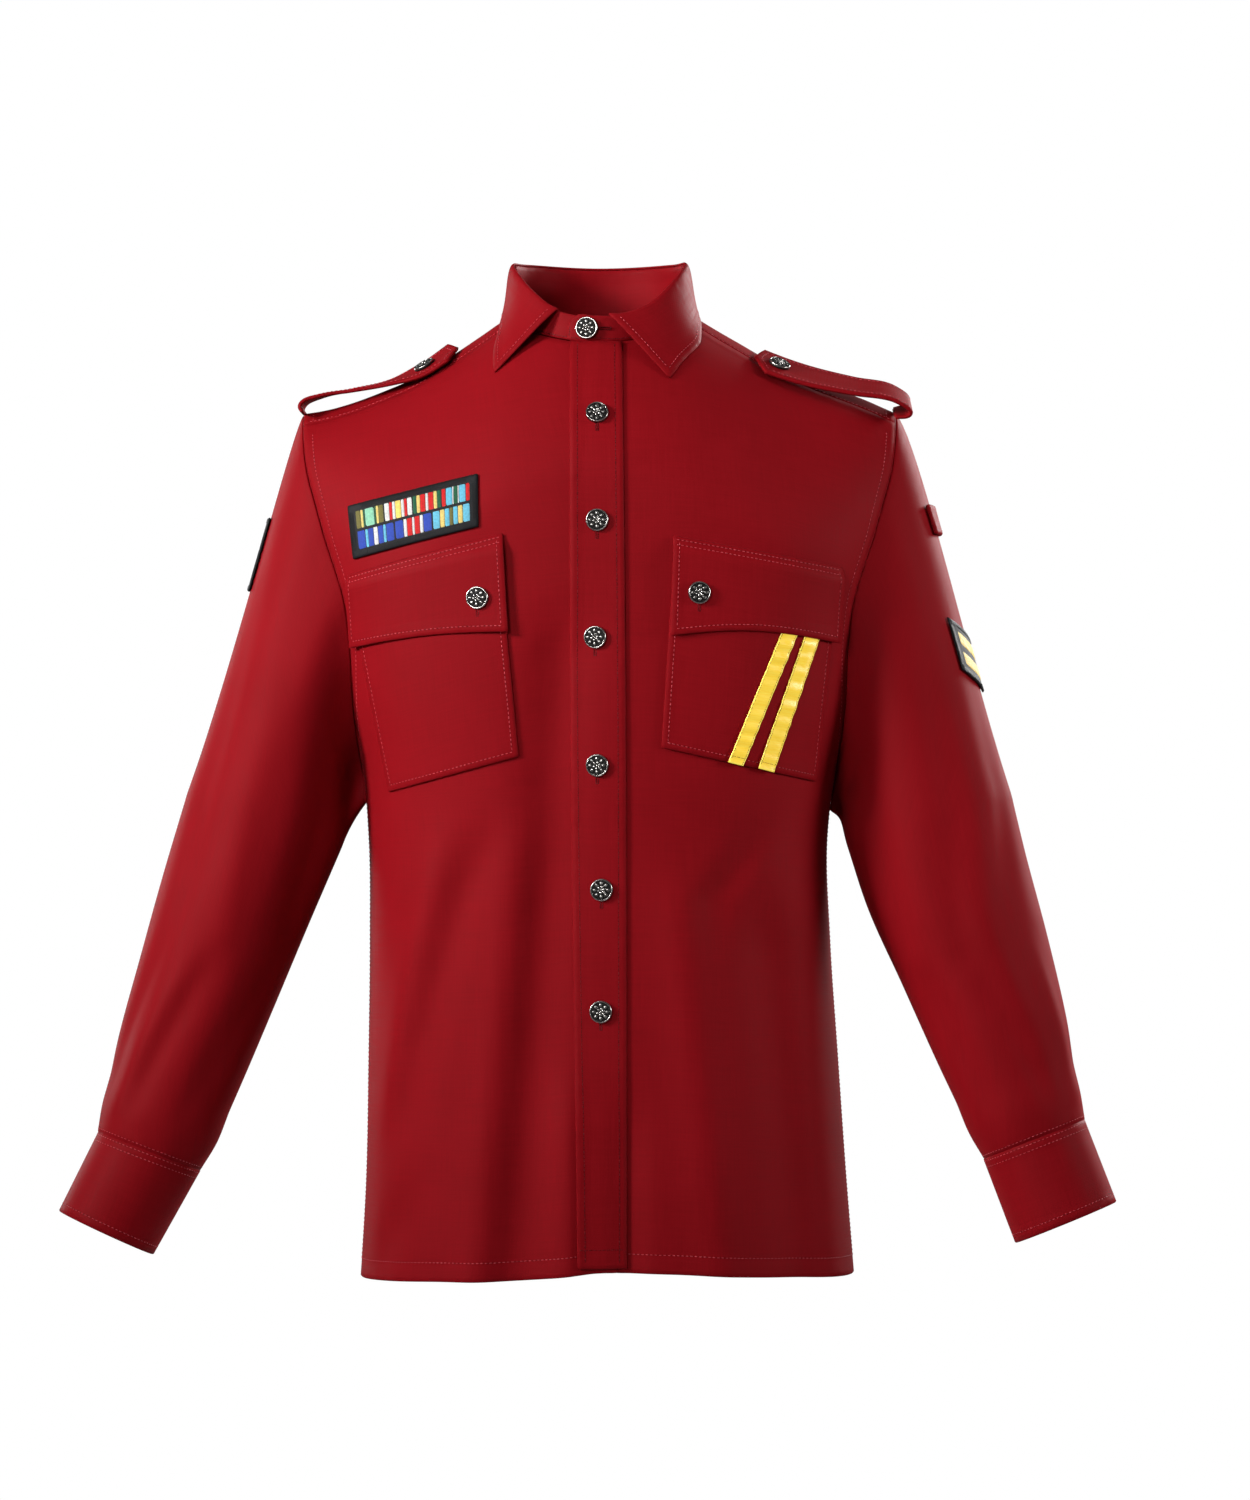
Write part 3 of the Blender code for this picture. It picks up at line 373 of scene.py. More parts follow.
def by_side(rows, key, x, at):
    """A column that the wearer's right and left have each for itself, blended at the centre."""
    right, left = read(rows, key, "right", at), read(rows, key, "left", at)
    return np.where(x < 0, right, left)


def half_width(x, z):
    """From the centre line to the body's side."""
    return by_side(BODY, "height", x, z)


def ridge(x):
    """The shoulder line's height."""
    return by_side(RIDGE, "across", x, np.abs(x))


def fold_push(face, x, z):
    """How far the folds of the front (1) or the back (-1) move the cloth outwards."""
    push = np.zeros(np.broadcast(x, z).shape)
    for i in np.flatnonzero(FOLDS["face"] == face):
        top, end = FOLDS["top_height"][i], FOLDS["end_height"][i]
        t = np.clip((top - z) / (top - end), 0, FOLD_OVERRUN)
        middle = FOLDS["top_across"][i] + t * (FOLDS["end_across"][i] - FOLDS["top_across"][i])
        strength = smooth((top - z) / FOLD_FADE) * smooth((z - end + FOLD_FADE) / FOLD_FADE)
        push = push + FOLDS["depth"][i] * strength * np.exp(-(((x - middle) / FOLDS["width"][i]) ** 2))
    return push


def full_depth(face, x, z):
    """The form's distance in front of or behind its middle, without the shoulder's slope."""
    column = "front" if face == FRONT else "back"
    share = np.clip(np.abs(x) / half_width(x, z), 0, 1)
    return read(BODY, "height", column, z) * (1 - share**SQUARENESS) ** (1 / SQUARENESS)


def rolled(face, drop):
    """The share of the full depth that the cloth has reached at a drop below the shoulder line."""
    reach, roundness = ROLL[face]
    q = np.clip(drop / reach, 0, 1)
    return (1 - (1 - q) ** roundness) ** (1 / roundness)


def body_y(face, x, z):
    """The body's outer surface: face 1 is the front, -1 the back."""
    depth = full_depth(face, x, z) * rolled(face, ridge(x) - z)
    inside = np.clip(1 - np.abs(x) / half_width(x, z), 0, FOLD_SIDE) / FOLD_SIDE
    return -face * (depth + fold_push(face, x, z) * inside)


def height_over(x, y):
    """The height of the shoulders' surface over a place near the neck."""
    face = FRONT if y < 0 else BACK
    reach, roundness = ROLL[face]
    z = line = float(ridge(x))
    for _ in range(SETTLE):
        share = min(abs(y) / float(full_depth(face, x, z)), 1)
        z = line - reach * (1 - (1 - share**roundness) ** (1 / roundness))
    return float(z)


def neck_point(angle):
    """The neck seam: where the upright oval tube meets the form."""
    a = math.radians(angle)
    x, y = -NECK_ACROSS * math.sin(a), -NECK_BACK - NECK_DEPTH * math.cos(a)
    return np.array([x, y, height_over(x, y)])


def neck_out(angle, rise=0.0):
    """The way out from the neck at an angle round it."""
    return np.array([-math.sin(math.radians(angle)), -math.cos(math.radians(angle)), rise])


def armhole_edge(z):
    """From the centre line to the armhole."""
    return read(ARMHOLE, "height", "edge", z)


def neck_corner():
    """The angle and the distance across at which the front's yoke seam meets the neck."""
    for angle in np.linspace(NECK_SIDE / 2, NECK_SIDE, ROW_POINTS):
        x, y, z = neck_point(angle)
        if ridge(x) - z < YOKE_FRONT_DROP:
            return angle, -x
    return NECK_SIDE, NECK_ACROSS


CORNER_ANGLE, CORNER_ACROSS = neck_corner()
NECK_FRONT = np.array([neck_point(angle) for angle in np.linspace(0, NECK_SIDE, ROW_POINTS // 2)])


def front_top(x):
    """The upper edge of a front: the neck seam, then the yoke's front seam."""
    seam = ridge(x) - YOKE_FRONT_DROP
    neck_height = np.interp(np.abs(x), -NECK_FRONT[:, 0], NECK_FRONT[:, 2])
    return np.where(np.abs(x) < CORNER_ACROSS, neck_height, seam)


def yoke_back(x):
    """The height of the yoke's seam behind."""
    return YOKE_BACK_CENTRE - YOKE_BACK_SLOPE * (np.abs(x) / SHOULDER_TIP) ** 2


def hem_height(face, x):
    """The height of the lower edge in front or behind."""
    hem = by_side(HEM, "across", x, np.abs(x))
    return hem if face == FRONT else hem - read(HEM, "across", "back_drop", np.abs(x))


def body_row(face, level, start, end, top):
    """One dense line across a panel. Level 0 is the hem, 1 the armpit's height and 2 the top edge;
    start and end are across, and a side's sign stands for its side seam or armhole."""

    def height(x):
        if level <= 1:
            hem = hem_height(face, x)
            return hem + (ARMPIT - hem) * level
        return ARMPIT + (top(x) - SEAM - ARMPIT) * (level - 1)

    edges, widths = {}, {}
    for side in (RIGHT, LEFT):
        x = float(side * SHOULDER_TIP)
        for _ in range(SETTLE):
            z = height(np.array(x))
            x = side * float(half_width(x, z) if level <= 1 else armhole_edge(z))
        edges[side], widths[side] = x, float(half_width(x, z))
    turns = []
    for place in (start, end):
        x = edges.get(place, place)
        share = min(abs(x) / widths[RIGHT if x < 0 else LEFT], 1)
        turns.append(math.copysign(math.asin(share ** (SQUARENESS / 2)), x))
    turn = np.linspace(*turns, ROW_POINTS)
    share = np.abs(np.sin(turn)) ** (2 / SQUARENESS) * np.sign(turn)
    x = share * np.where(share < 0, widths[RIGHT], widths[LEFT])
    z = height(x)
    return points(x, body_y(face, x, z) - face * SEAM, z)


def panel(face, parts, rows_low, rows_high, top):
    """A body panel's grid of points, rows from the hem up. Parts are (start, end, columns)."""
    levels = np.concatenate(
        [np.linspace(0, 1, rows_low + 1), 1 + np.linspace(0, 1, rows_high + 1)[1:]]
    )
    rows = []
    for level in levels:
        row = []
        for start, end, columns in parts:
            line = along(body_row(face, level, start, end, top), np.linspace(0, 1, columns + 1))
            row.extend(line if not row else line[1:])
        rows.append(row)
    return np.array(rows)


def over_shoulder(x, turn):
    """A place on the yoke. Turn runs from -90 degrees in front over 0 on the shoulder line."""
    face = FRONT if turn < 0 else BACK
    reach, roundness = ROLL[face]
    z = ridge(x) - reach * (1 - math.cos(math.radians(turn)) ** (2 / roundness))
    return np.array([x, float(body_y(face, x, z)), float(z)])


def turn_at(face, drop):
    """The turn over the shoulder at which the form is a drop below the shoulder line."""
    reach, roundness = ROLL[face]
    share = min(max(1 - drop / reach, 0), 1)
    return -face * math.degrees(math.acos(share ** (roundness / 2)))


def armhole_across(side, turn):
    """Across to the armhole's edge at a turn over the shoulder."""
    x = side * float(SHOULDER_TIP)
    for _ in range(SETTLE):
        x = side * float(armhole_edge(over_shoulder(x, turn)[2]))
    return x


def yoke_grid(seam_columns, neck_columns, rows):
    """The yoke, columns from the wearer's left armhole round to the right one."""
    columns = []
    half = seam_columns + neck_columns
    front_turn = turn_at(FRONT, YOKE_FRONT_DROP)
    for side in (LEFT, RIGHT):
        one_side = []
        for k in range(half + 1):
            if k <= seam_columns:
                x = SHOULDER_TIP + (CORNER_ACROSS - SHOULDER_TIP) * k / seam_columns
                start = (side * x, front_turn)
            else:
                angle = CORNER_ANGLE + (180 - CORNER_ANGLE) * (k - seam_columns) / neck_columns
                x, y, z = neck_point(angle)
                face = FRONT if y < 0 else BACK
                start = (-side * x, turn_at(face, ridge(-side * x) - z))
            x = side * SHOULDER_TIP * (1 - k / half)
            end = (x, turn_at(BACK, ridge(x) - yoke_back(x) - SEAM))
            column = []
            for j in range(rows + 1):
                turn = start[1] + (end[1] - start[1]) * j / rows
                shares = [abs(p[0]) / abs(armhole_across(side, p[1])) for p in (start, end)]
                share = shares[0] + (shares[1] - shares[0]) * j / rows
                if k == 0:
                    share = 1
                column.append(over_shoulder(share * armhole_across(side, turn), turn))
            one_side.append(along(np.array(column), np.linspace(0, 1, rows + 1)))
        columns.append(one_side)
    return np.array(columns[0] + columns[1][-2::-1])


def armhole_line(side, count):
    """The armhole seam as a ring: its top, down the front, the armpit, up the back."""
    halves = []
    for face in (FRONT, BACK):
        tip = float(ridge(side * SHOULDER_TIP))
        fall = 0.5 - 0.5 * np.cos(np.linspace(0, math.pi, ARMHOLE_POINTS))
        z = tip + (ARMPIT - tip) * fall
        x = side * armhole_edge(z)
        y = body_y(face, x, z)
        y[0] = y[-1] = 0
        halves.append(along(points(x, y, z), np.linspace(0, 1, count // 2 + 1)))
    return np.concatenate([halves[0], halves[1][-2:0:-1]])


def ring(side, rows, z, turns, grow=0.0):
    """A level of a sleeve or cuff, and its way down. Turns are degrees from the outer side over the
    front."""
    names = ("across", "forward", "width", "depth", "lean")
    across, ahead, width, depth, lean = (float(read(rows, "height", name, z)) for name in names)
    lean, tip = math.radians(lean), math.radians(FORWARD_LEAN)
    middle = np.array([side * across, -ahead, z])
    outward = np.array([side * math.cos(lean), 0, math.sin(lean)])
    down = unit(np.array([side * math.sin(lean), -math.sin(tip), -math.cos(lean)]))
    forward = unit(np.cross(down, outward) * side)
    if forward[1] > 0:
        forward = -forward
    a = np.radians(turns)[:, None]
    return middle + outward * (width / 2 + grow) * np.cos(a) + forward * (depth / 2 + grow) * np.sin(a), down


def sleeve_grid(side, count, cap_rows, arm_rows):
    """A sleeve's rings, from the armhole down to the cuff's seam."""
    turns = np.arange(count) * 360 / count
    start = armhole_line(side, count)
    top_height = SLEEVE[side]["height"].max()
    end_height = SLEEVE[side]["height"].min()
    biceps, down = ring(side, SLEEVE[side], top_height, turns)
    chord = biceps - start
    length = np.linalg.norm(chord, axis=1)[:, None]
    c = np.cos(np.radians(turns))[:, None]
    top, bottom = ((1 + c) / 2) ** 2, ((1 - c) / 2) ** 2
    middle = 1 - top - bottom
    angle = math.radians(CAP_ANGLE[side])
    leave_top = np.array([side * math.sin(angle), 0, -math.cos(angle)]) * CAP_PUSH[side]
    leave_side = np.array([side * CAP_SIDE[0], 0, CAP_SIDE[1]]) * CAP_SIDE_PUSH * length
    leave_pit = np.array([side * CAP_PIT[0], 0, CAP_PIT[1]]) * CAP_PIT_PUSH * length
    leave = top * leave_top + middle * leave_side + bottom * leave_pit
    start = start + unit(leave) * (CAP_SPACE + CAP_SPACE_TOP * top)
    rings = []
    for i in range(cap_rows):
        t = (i / cap_rows) ** CAP_CLOSE
        rings.append(eased(t, start, leave, biceps, down * length))
    for i in range(arm_rows + 1):
        z = top_height + (end_height - top_height) * i / arm_rows
        rings.append(ring(side, SLEEVE[side], z, turns)[0])
    return np.array(rings)


def grid_place(grid, u, v):
    """A place on a tube's grid: u round its rings and v down it, both as shares."""
    rows, columns = grid.shape[0] - 1, grid.shape[1]
    a, b = u * columns, min(max(v, 0), 1) * rows
    i, j = math.floor(a), min(int(b), rows - 1)
    s, t = a - i, b - j
    k = (i + 1) % columns
    i %= columns
    upper = grid[j][i] * (1 - s) + grid[j][k] * s
    lower = grid[j + 1][i] * (1 - s) + grid[j + 1][k] * s
    return upper * (1 - t) + lower * t


def fold_point(angle, drop):
    """A place below the collar's fold."""
    a = math.radians(angle)
    height = float(read(COLLAR, "angle", "fold", angle))
    return np.array([-FOLD_ACROSS * math.sin(a), -NECK_BACK - FOLD_DEPTH * math.cos(a), height - drop])


def stand_grid(columns, rows):
    """The collar's stand, a band whose ends lap at the front."""
    grid = []
    turn = STAND_END - STAND_START
    per_degree = math.radians(1) * NECK_ACROSS
    for j in range(rows + 1):
        line = []
        for i in range(columns + 1):
            share = i / columns
            angle = STAND_START + turn * share
            lap = STAND_LAP * (2 * share - 1)
            low = neck_point(angle)
            low[2] += 2 * SEAM
            high = fold_point(angle, FIRM_WALL + 3 * SEAM)
            left_over = (STAND_END - angle) * per_degree
            if left_over < STAND_CORNER:
                short = 1 - math.sqrt(1 - (1 - left_over / STAND_CORNER) ** 2)
                high[2] -= short * STAND_CORNER
            line.append(low + (high - low) * j / rows + neck_out(angle) * lap)
        grid.append(line)
    return np.array(grid)


def leaf_grid(columns, levels):
    """The collar's leaf, from its fold down to its points. It is the leaf's under side."""
    grid = []
    for t in levels:
        line = []
        for i in range(columns + 1):
            share = i / columns
            angle = LEAF_START + (LEAF_END - LEAF_START) * share
            if angle < 180:
                edge = 180 - (180 - TIP_RIGHT) * (180 - angle) / (180 - LEAF_START)
            else:
                edge = 180 + (TIP_LEFT - 180) * (angle - 180) / (LEAF_END - 180)
            start = fold_point(angle, FIRM_WALL)
            e = math.radians(edge)
            reach = float(read(LEAF_EDGE, "angle", "reach", edge))
            end = np.array([-reach * math.sin(e), -NECK_BACK - reach * math.cos(e), 0.0])
            rest = height_over(end[0], end[1]) + LEAF_CLEAR
            end[2] = max(rest, start[2] - float(read(LEAF_EDGE, "angle", "depth", edge)))
            out = np.array([-math.sin((math.radians(angle) + e) / 2), -math.cos(e), 0])
            swell = LEAF_ROLL * math.sin(math.pi * t**LEAF_CROWN)
            line.append(start + (end - start) * t**LEAF_TURN + out * swell)
        grid.append(line)
    return np.array(grid)


def strap_grid(side, columns, rows):
    """An epaulette's under side, from the armhole's seam to its point."""
    strap = EPAULETTE[side]
    grid = []
    for j in range(rows + 1):
        line = []
        offset = 2 * j / rows - 1
        for i in range(columns + 1):
            share = i / columns
            across, height, forward, roll = (
                float(read(strap, "share", column, share))
                for column in ("across", "height", "forward", "roll")
            )
            cut_back = STRAP_POINT * abs(offset) * max(0, 1 - (1 - share) / STRAP_POINT_SHARE)
            narrowed = min(share / STRAP_NARROWS, 1)
            half = offset * (STRAP_SEAM_WIDTH + (STRAP_WIDTH - STRAP_SEAM_WIDTH) * narrowed) / 2
            line.append([
                side * (across + cut_back),
                -forward - half * math.cos(math.radians(roll)),
                height - cut_back / 2 - half * math.sin(math.radians(roll)),
            ])
        grid.append(line)
    return np.array(grid)


def cuff_grid(side, columns, rows):
    """A cuff: a band whose ends lap on the outer back."""
    grid = []
    heights = CUFF[side]["height"]
    whole = 360 + CUFF_LAP_TURN
    for j in range(rows + 1):
        z = heights.max() + (heights.min() - heights.max()) * j / rows
        line = []
        for i in range(columns + 1):
            share = i / columns
            turn = CUFF_START - whole * (1 - share)
            line.append(ring(side, CUFF[side], z, np.array([turn]), CUFF_LAP * (2 * share - 1))[0][0])
        grid.append(line)
    return np.array(grid)


def sleeve_piece_grid(sleeve, side, first, last, top, bottom, hang, rows):
    """A patch on a sleeve, with the sleeve's own edges among its columns, moved out."""
    step = 360 / sleeve.shape[1]
    inner = step * np.arange(math.floor(first / step) + 1, math.ceil(last / step))
    turns = [first, *inner, last]
    levels = np.linspace(0, 1, 4 * sleeve.shape[0])
    grid = []
    for turn in turns:
        u = turn / 360
        down_sleeve = [grid_place(sleeve, u, v)[2] for v in levels]
        aside = abs(2 * (turn - first) / (last - first) - 1)
        column = []
        for j in range(rows + 1):
            z = top + (bottom - top) * j / rows - hang * (1 - aside)
            v = float(np.interp(-z, -np.array(down_sleeve), levels))
            here = grid_place(sleeve, u, v)
            across = grid_place(sleeve, u + PATCH_STEP, v) - grid_place(sleeve, u - PATCH_STEP, v)
            below = grid_place(sleeve, u, v + PATCH_STEP) - here
            out = unit(np.cross(across, below))
            column.append(here + out * math.copysign(PATCH_LIFT, out[0] * side))
        grid.append(column)
    return np.array(grid).swapaxes(0, 1)


# Finishes
SHIRT_THREADS, TWILL_THREADS = 2200.0, 1500.0  # waves of the weave, in radians a metre
STREAK = (900.0, 30.0)  # how close streaks lie across a thread and along it
MOTTLE_SCALE, CRUMPLE_SCALE, PUCKER_SCALE = 14.0, 28.0, 110.0
SEAM_REACH = (0.002, 0.011)  # metres from a sewn edge between which its puckers, and its painted groove shade and wear, fade
TWIST_SCALE, STAIN_SCALE, RIPPLE_SCALE = 900.0, 700.0, 160.0  # of thread, metal and ribbons
EMBROIDERY_THREADS, EMBROIDERY_SCALE = 9000.0, 700.0
SATIN_FLOATS = (60.0, 2600.0, 1.0)  # how close the ribbons' threads lie along them and across
# Each finish's small relief: its height in metres and its strength
CLOTH_RELIEF, THREAD_RELIEF, EMBROIDERY_RELIEF = (0.0009, 0.55), (0.0002, 0.5), (0.0004, 0.7)
SATIN_RELIEF, SILVER_RELIEF = (0.0006, 0.5), (0.00008, 0.4)


def add(tree, kind, inputs=None, **settings):
    """A shader node with its settings, and its inputs as values or as other nodes' outputs."""
    node = tree.nodes.new(kind)
    for key, value in settings.items():
        setattr(node, key, value)
    for socket, value in (inputs or {}).items():
        if isinstance(value, bpy.types.NodeSocket):
            tree.links.new(value, node.inputs[socket])
        else:
            node.inputs[socket].default_value = value
    return node


def ramp(tree, factor, stops):
    """A colour ramp through (place, colour) stops."""
    stops = list(stops)
    node = add(tree, "ShaderNodeValToRGB", {0: factor})
    elements = node.color_ramp.elements
    while len(elements) < len(stops):
        elements.new(0.5)
    for element, (place, colour) in zip(elements, stops):
        element.position = place
        element.color = (*colour, 1)
    return node.outputs[0]


def group(name, inputs, outputs):
    """A shader node group with named sockets."""
    tree = bpy.data.node_groups.new(name, "ShaderNodeTree")
    for label, kind, value in inputs:
        socket = tree.interface.new_socket(label, in_out="INPUT", socket_type="NodeSocket" + kind)
        if value is not None:
            socket.default_value = value
    for label, kind in outputs:
        tree.interface.new_socket(label, in_out="OUTPUT", socket_type="NodeSocket" + kind)
    return tree, tree.nodes.new("NodeGroupInput").outputs, tree.nodes.new("NodeGroupOutput").inputs


def maths(tree, operation, a, b=0.0, c=0.0):
    """One step of arithmetic."""
    return add(tree, "ShaderNodeMath", {0: a, 1: b, 2: c}, operation=operation).outputs[0]


def noise(tree, place, scale, detail=2.0):
    """A soft random pattern, from 0 to 1."""
    return add(tree, "ShaderNodeTexNoise", {"Vector": place, "Scale": scale, "Detail": detail}).outputs[0]


def stretched(tree, place, by):
    """Places stretched by three factors, so that a pattern on them runs in streaks."""
    return add(tree, "ShaderNodeVectorMath", {0: place, 1: by}, operation="MULTIPLY").outputs[0]


def remap(tree, value, start, end, at_start, at_end):
    """A value that goes from one end value to the other between two places."""
    inputs = {0: value, 1: start, 2: end, 3: at_start, 4: at_end}
    return add(tree, "ShaderNodeMapRange", inputs).outputs[0]


def own(tree, name, output="Fac"):
    """A value that the piece's mesh carries."""
    return add(tree, "ShaderNodeAttribute", attribute_name=name).outputs[output]


def make_weave():
    """Crossing threads: their height, and a streaky difference from thread to thread."""
    tree, given, put = group(
        "plain_weave",
        [("Cut", "Vector", None), ("Threads", "Float", SHIRT_THREADS), ("Streaks", "Float", 1.0)],
        [("Height", "Float"), ("Streak", "Float")],
    )
    parts = add(tree, "ShaderNodeSeparateXYZ", {0: given["Cut"]}).outputs
    ways = [maths(tree, "SINE", maths(tree, "MULTIPLY", parts[k], given["Threads"])) for k in (0, 1)]
    tree.links.new(maths(tree, "MULTIPLY_ADD", maths(tree, "MULTIPLY", *ways), 0.5, 0.5), put["Height"])
    long, short = STREAK
    warp, weft = (noise(tree, stretched(tree, given["Cut"], by), 1.0)
                  for by in ((long, short, 1.0), (short, long, 1.0)))
    both = maths(tree, "ADD", warp, weft)
    evened = maths(tree, "MULTIPLY", given["Streaks"], -1.0)
    both = maths(tree, "MULTIPLY_ADD", both, given["Streaks"], evened)
    tree.links.new(both, put["Streak"])
    return tree


def make_handling():
    """What wear and pressing leave on cloth: soft mottling, puckers beside sewn edges, and a mask there for
    painted groove shade and wear.
    """
    tree, given, put = group(
        "handling",
        [("Place", "Vector", None), ("Edge", "Float", 0.0), ("Pucker", "Float", 1.0)],
        [("Mottle", "Float"), ("Height", "Float"), ("Seam", "Float")],
    )
    tree.links.new(noise(tree, given["Place"], MOTTLE_SCALE, 3.0), put["Mottle"])
    # closeness to a sewn edge: for the puckers, and for the painted groove shade and wear
    near = remap(tree, given["Edge"], *SEAM_REACH, 1.0, 0.0)
    tree.links.new(near, put["Seam"])
    ripple = noise(tree, given["Place"], PUCKER_SCALE, 1.0)
    soft = noise(tree, given["Place"], CRUMPLE_SCALE)
    seam = maths(tree, "MULTIPLY", maths(tree, "MULTIPLY", ripple, near), given["Pucker"])
    tree.links.new(maths(tree, "MULTIPLY_ADD", soft, 0.6, seam), put["Height"])
    return tree


WEAVE, HANDLING = make_weave(), make_handling()


def finish(name, roughness, **fixed):
    """A material, its tree, its shader, and its places and cut coordinates."""
    made = bpy.data.materials.new(name)
    made.use_nodes = True
    tree = made.node_tree
    shader = tree.nodes["Principled BSDF"]
    shader.inputs["Roughness"].default_value = roughness
    for socket, value in fixed.items():
        shader.inputs[socket.replace("_", " ")].default_value = value
    place = add(tree, "ShaderNodeTexCoord").outputs["Object"]
    cut = add(tree, "ShaderNodeUVMap", uv_map="cut").outputs[0]
    return made, tree, shader, place, cut


def bump(tree, shader, height, distance, strength):
    """Small relief on the shader's surface."""
    node = add(tree, "ShaderNodeBump", {"Strength": strength, "Distance": distance, "Height": height})
    tree.links.new(node.outputs[0], shader.inputs["Normal"])


def shirting(name, shades, roughness=0.62, threads=SHIRT_THREADS, weave_height=0.06, pucker=1.0, **fixed):
    """Woven cloth between two shades, with its weave, streaks, mottling and puckered seams, darkened beside
    seams by painted groove shade and wear.
    """
    made, tree, shader, place, cut = finish(name, roughness, **fixed)
    weave = add(tree, "ShaderNodeGroup", {"Cut": cut, "Threads": threads, "Streaks": 1.0}, node_tree=WEAVE)
    handled = {"Place": place, "Edge": own(tree, "edge"), "Pucker": pucker}
    handling = add(tree, "ShaderNodeGroup", handled, node_tree=HANDLING)
    shade = maths(tree, "MULTIPLY_ADD", handling.outputs["Mottle"], 0.5, 0.25)
    shade = maths(tree, "MULTIPLY_ADD", weave.outputs["Streak"], 0.5, shade)
    # painted shade and wear: up to a tenth darker beside a sewn edge, for the seam's groove
    shade = maths(tree, "MULTIPLY_ADD", handling.outputs["Seam"], -0.10, shade)
    tree.links.new(ramp(tree, shade, zip((0.15, 0.85), shades)), shader.inputs["Base Color"])
    rough = maths(tree, "MULTIPLY_ADD", weave.outputs["Streak"], 0.25, roughness)
    tree.links.new(rough, shader.inputs["Roughness"])
    height = maths(tree, "MULTIPLY_ADD", weave.outputs["Height"], weave_height, handling.outputs["Height"])
    bump(tree, shader, height, *CLOTH_RELIEF)
    return made


def sewing_thread(name, dark, light):
    """Twisted thread between two shades, near black on the flat marks of painted shade for its needle holes.
    """
    made, tree, shader, place, _ = finish(name, 0.5, Specular_IOR_Level=0.15)
    twist = noise(tree, place, TWIST_SCALE, 1.0)
    # painted shade: the needle holes' marks take the darkest colour, a fifth of the dark shade
    shade = maths(tree, "MULTIPLY_ADD", own(tree, "painted_hole_shade"), -1.0, twist)
    deep = tuple(part * 0.2 for part in dark)
    tree.links.new(ramp(tree, shade, [(0.0, deep), (0.3, dark), (0.7, light)]), shader.inputs["Base Color"])
    bump(tree, shader, twist, *THREAD_RELIEF)
    return made


def embroidery(name):
    """Close parallel threads, coloured by the piece's own thread colour, with painted shade between them and
    a painted highlight on their crests.
    """
    made, tree, shader, place, cut = finish(name, 0.5, Specular_IOR_Level=0.2)
    parts = add(tree, "ShaderNodeSeparateXYZ", {0: cut}).outputs
    wave = maths(tree, "SINE", maths(tree, "MULTIPLY", parts[0], EMBROIDERY_THREADS))
    height = maths(tree, "MULTIPLY_ADD", wave, 0.3, noise(tree, place, EMBROIDERY_SCALE))
    # painted shade and highlight: the thread colour falls to 0.62 in the grooves between threads and rises
    # to 1.12 on their crests, after the bump's height; the noise in it adds tone that differs at random
    shade = ramp(tree, height, [(0.2, (0.62, 0.62, 0.62)), (0.75, (1.12, 1.12, 1.12))])
    inputs = {0: 1.0, 6: own(tree, "thread", "Color"), 7: shade}
    mixed = add(tree, "ShaderNodeMix", inputs, data_type="RGBA", blend_type="MULTIPLY")
    tree.links.new(mixed.outputs[2], shader.inputs["Base Color"])
    bump(tree, shader, height, *EMBROIDERY_RELIEF)
    return made


def satin(name, dark, light):
    """Satin ribbon: long floats across it that shine, with a slight ripple, and that glow a little with
    painted light for their shine.
    """
    # painted light: Emission Strength 0.28 makes the ribbon glow in its own colour, standing in for the
    # bright shine of satin
    made, tree, shader, place, cut = finish(
        name, 0.3, Anisotropic=0.6, Coat_Weight=0.25, Coat_Roughness=0.2, Emission_Strength=0.28
    )
    floats = noise(tree, stretched(tree, cut, SATIN_FLOATS), 1.0)
    pale = remap(tree, own(tree, "edge"), 0.0004, 0.0015, 0.35, 0.0)
    colour = ramp(tree, maths(tree, "ADD", floats, pale), [(0.25, dark), (0.9, light)])
    # painted light: the ribbon's colour is also its glow
    for socket in ("Base Color", "Emission Color"):
        tree.links.new(colour, shader.inputs[socket])
    tree.links.new(maths(tree, "MULTIPLY_ADD", floats, 0.2, 0.22), shader.inputs["Roughness"])
    ripple = noise(tree, place, RIPPLE_SCALE, 1.0)
    bump(tree, shader, maths(tree, "MULTIPLY_ADD", floats, 0.15, ripple), *SATIN_RELIEF)
    return made


def antique_silver(name):
    """Silvered metal, dark in its hollows and rubbed bright on what stands out."""
    made, tree, shader, place, _ = finish(name, 0.3)
    stain = noise(tree, place, STAIN_SCALE, 4.0)
    shade = maths(tree, "MULTIPLY_ADD", maths(tree, "SUBTRACT", stain, 0.5), 0.35, own(tree, "relief"))
    tarnish, worn, bright = (0.012, 0.011, 0.010), (0.085, 0.082, 0.077), (0.50, 0.485, 0.46)
    colour = ramp(tree, shade, [(0.3, tarnish), (0.6, worn), (0.92, bright)])
    tree.links.new(colour, shader.inputs["Base Color"])
    tree.links.new(remap(tree, shade, 0.2, 0.6, 0.6, 1.0), shader.inputs["Metallic"])
    tree.links.new(remap(tree, shade, 0.2, 0.9, 0.55, 0.22), shader.inputs["Roughness"])
    bump(tree, shader, stain, *SILVER_RELIEF)
    return made


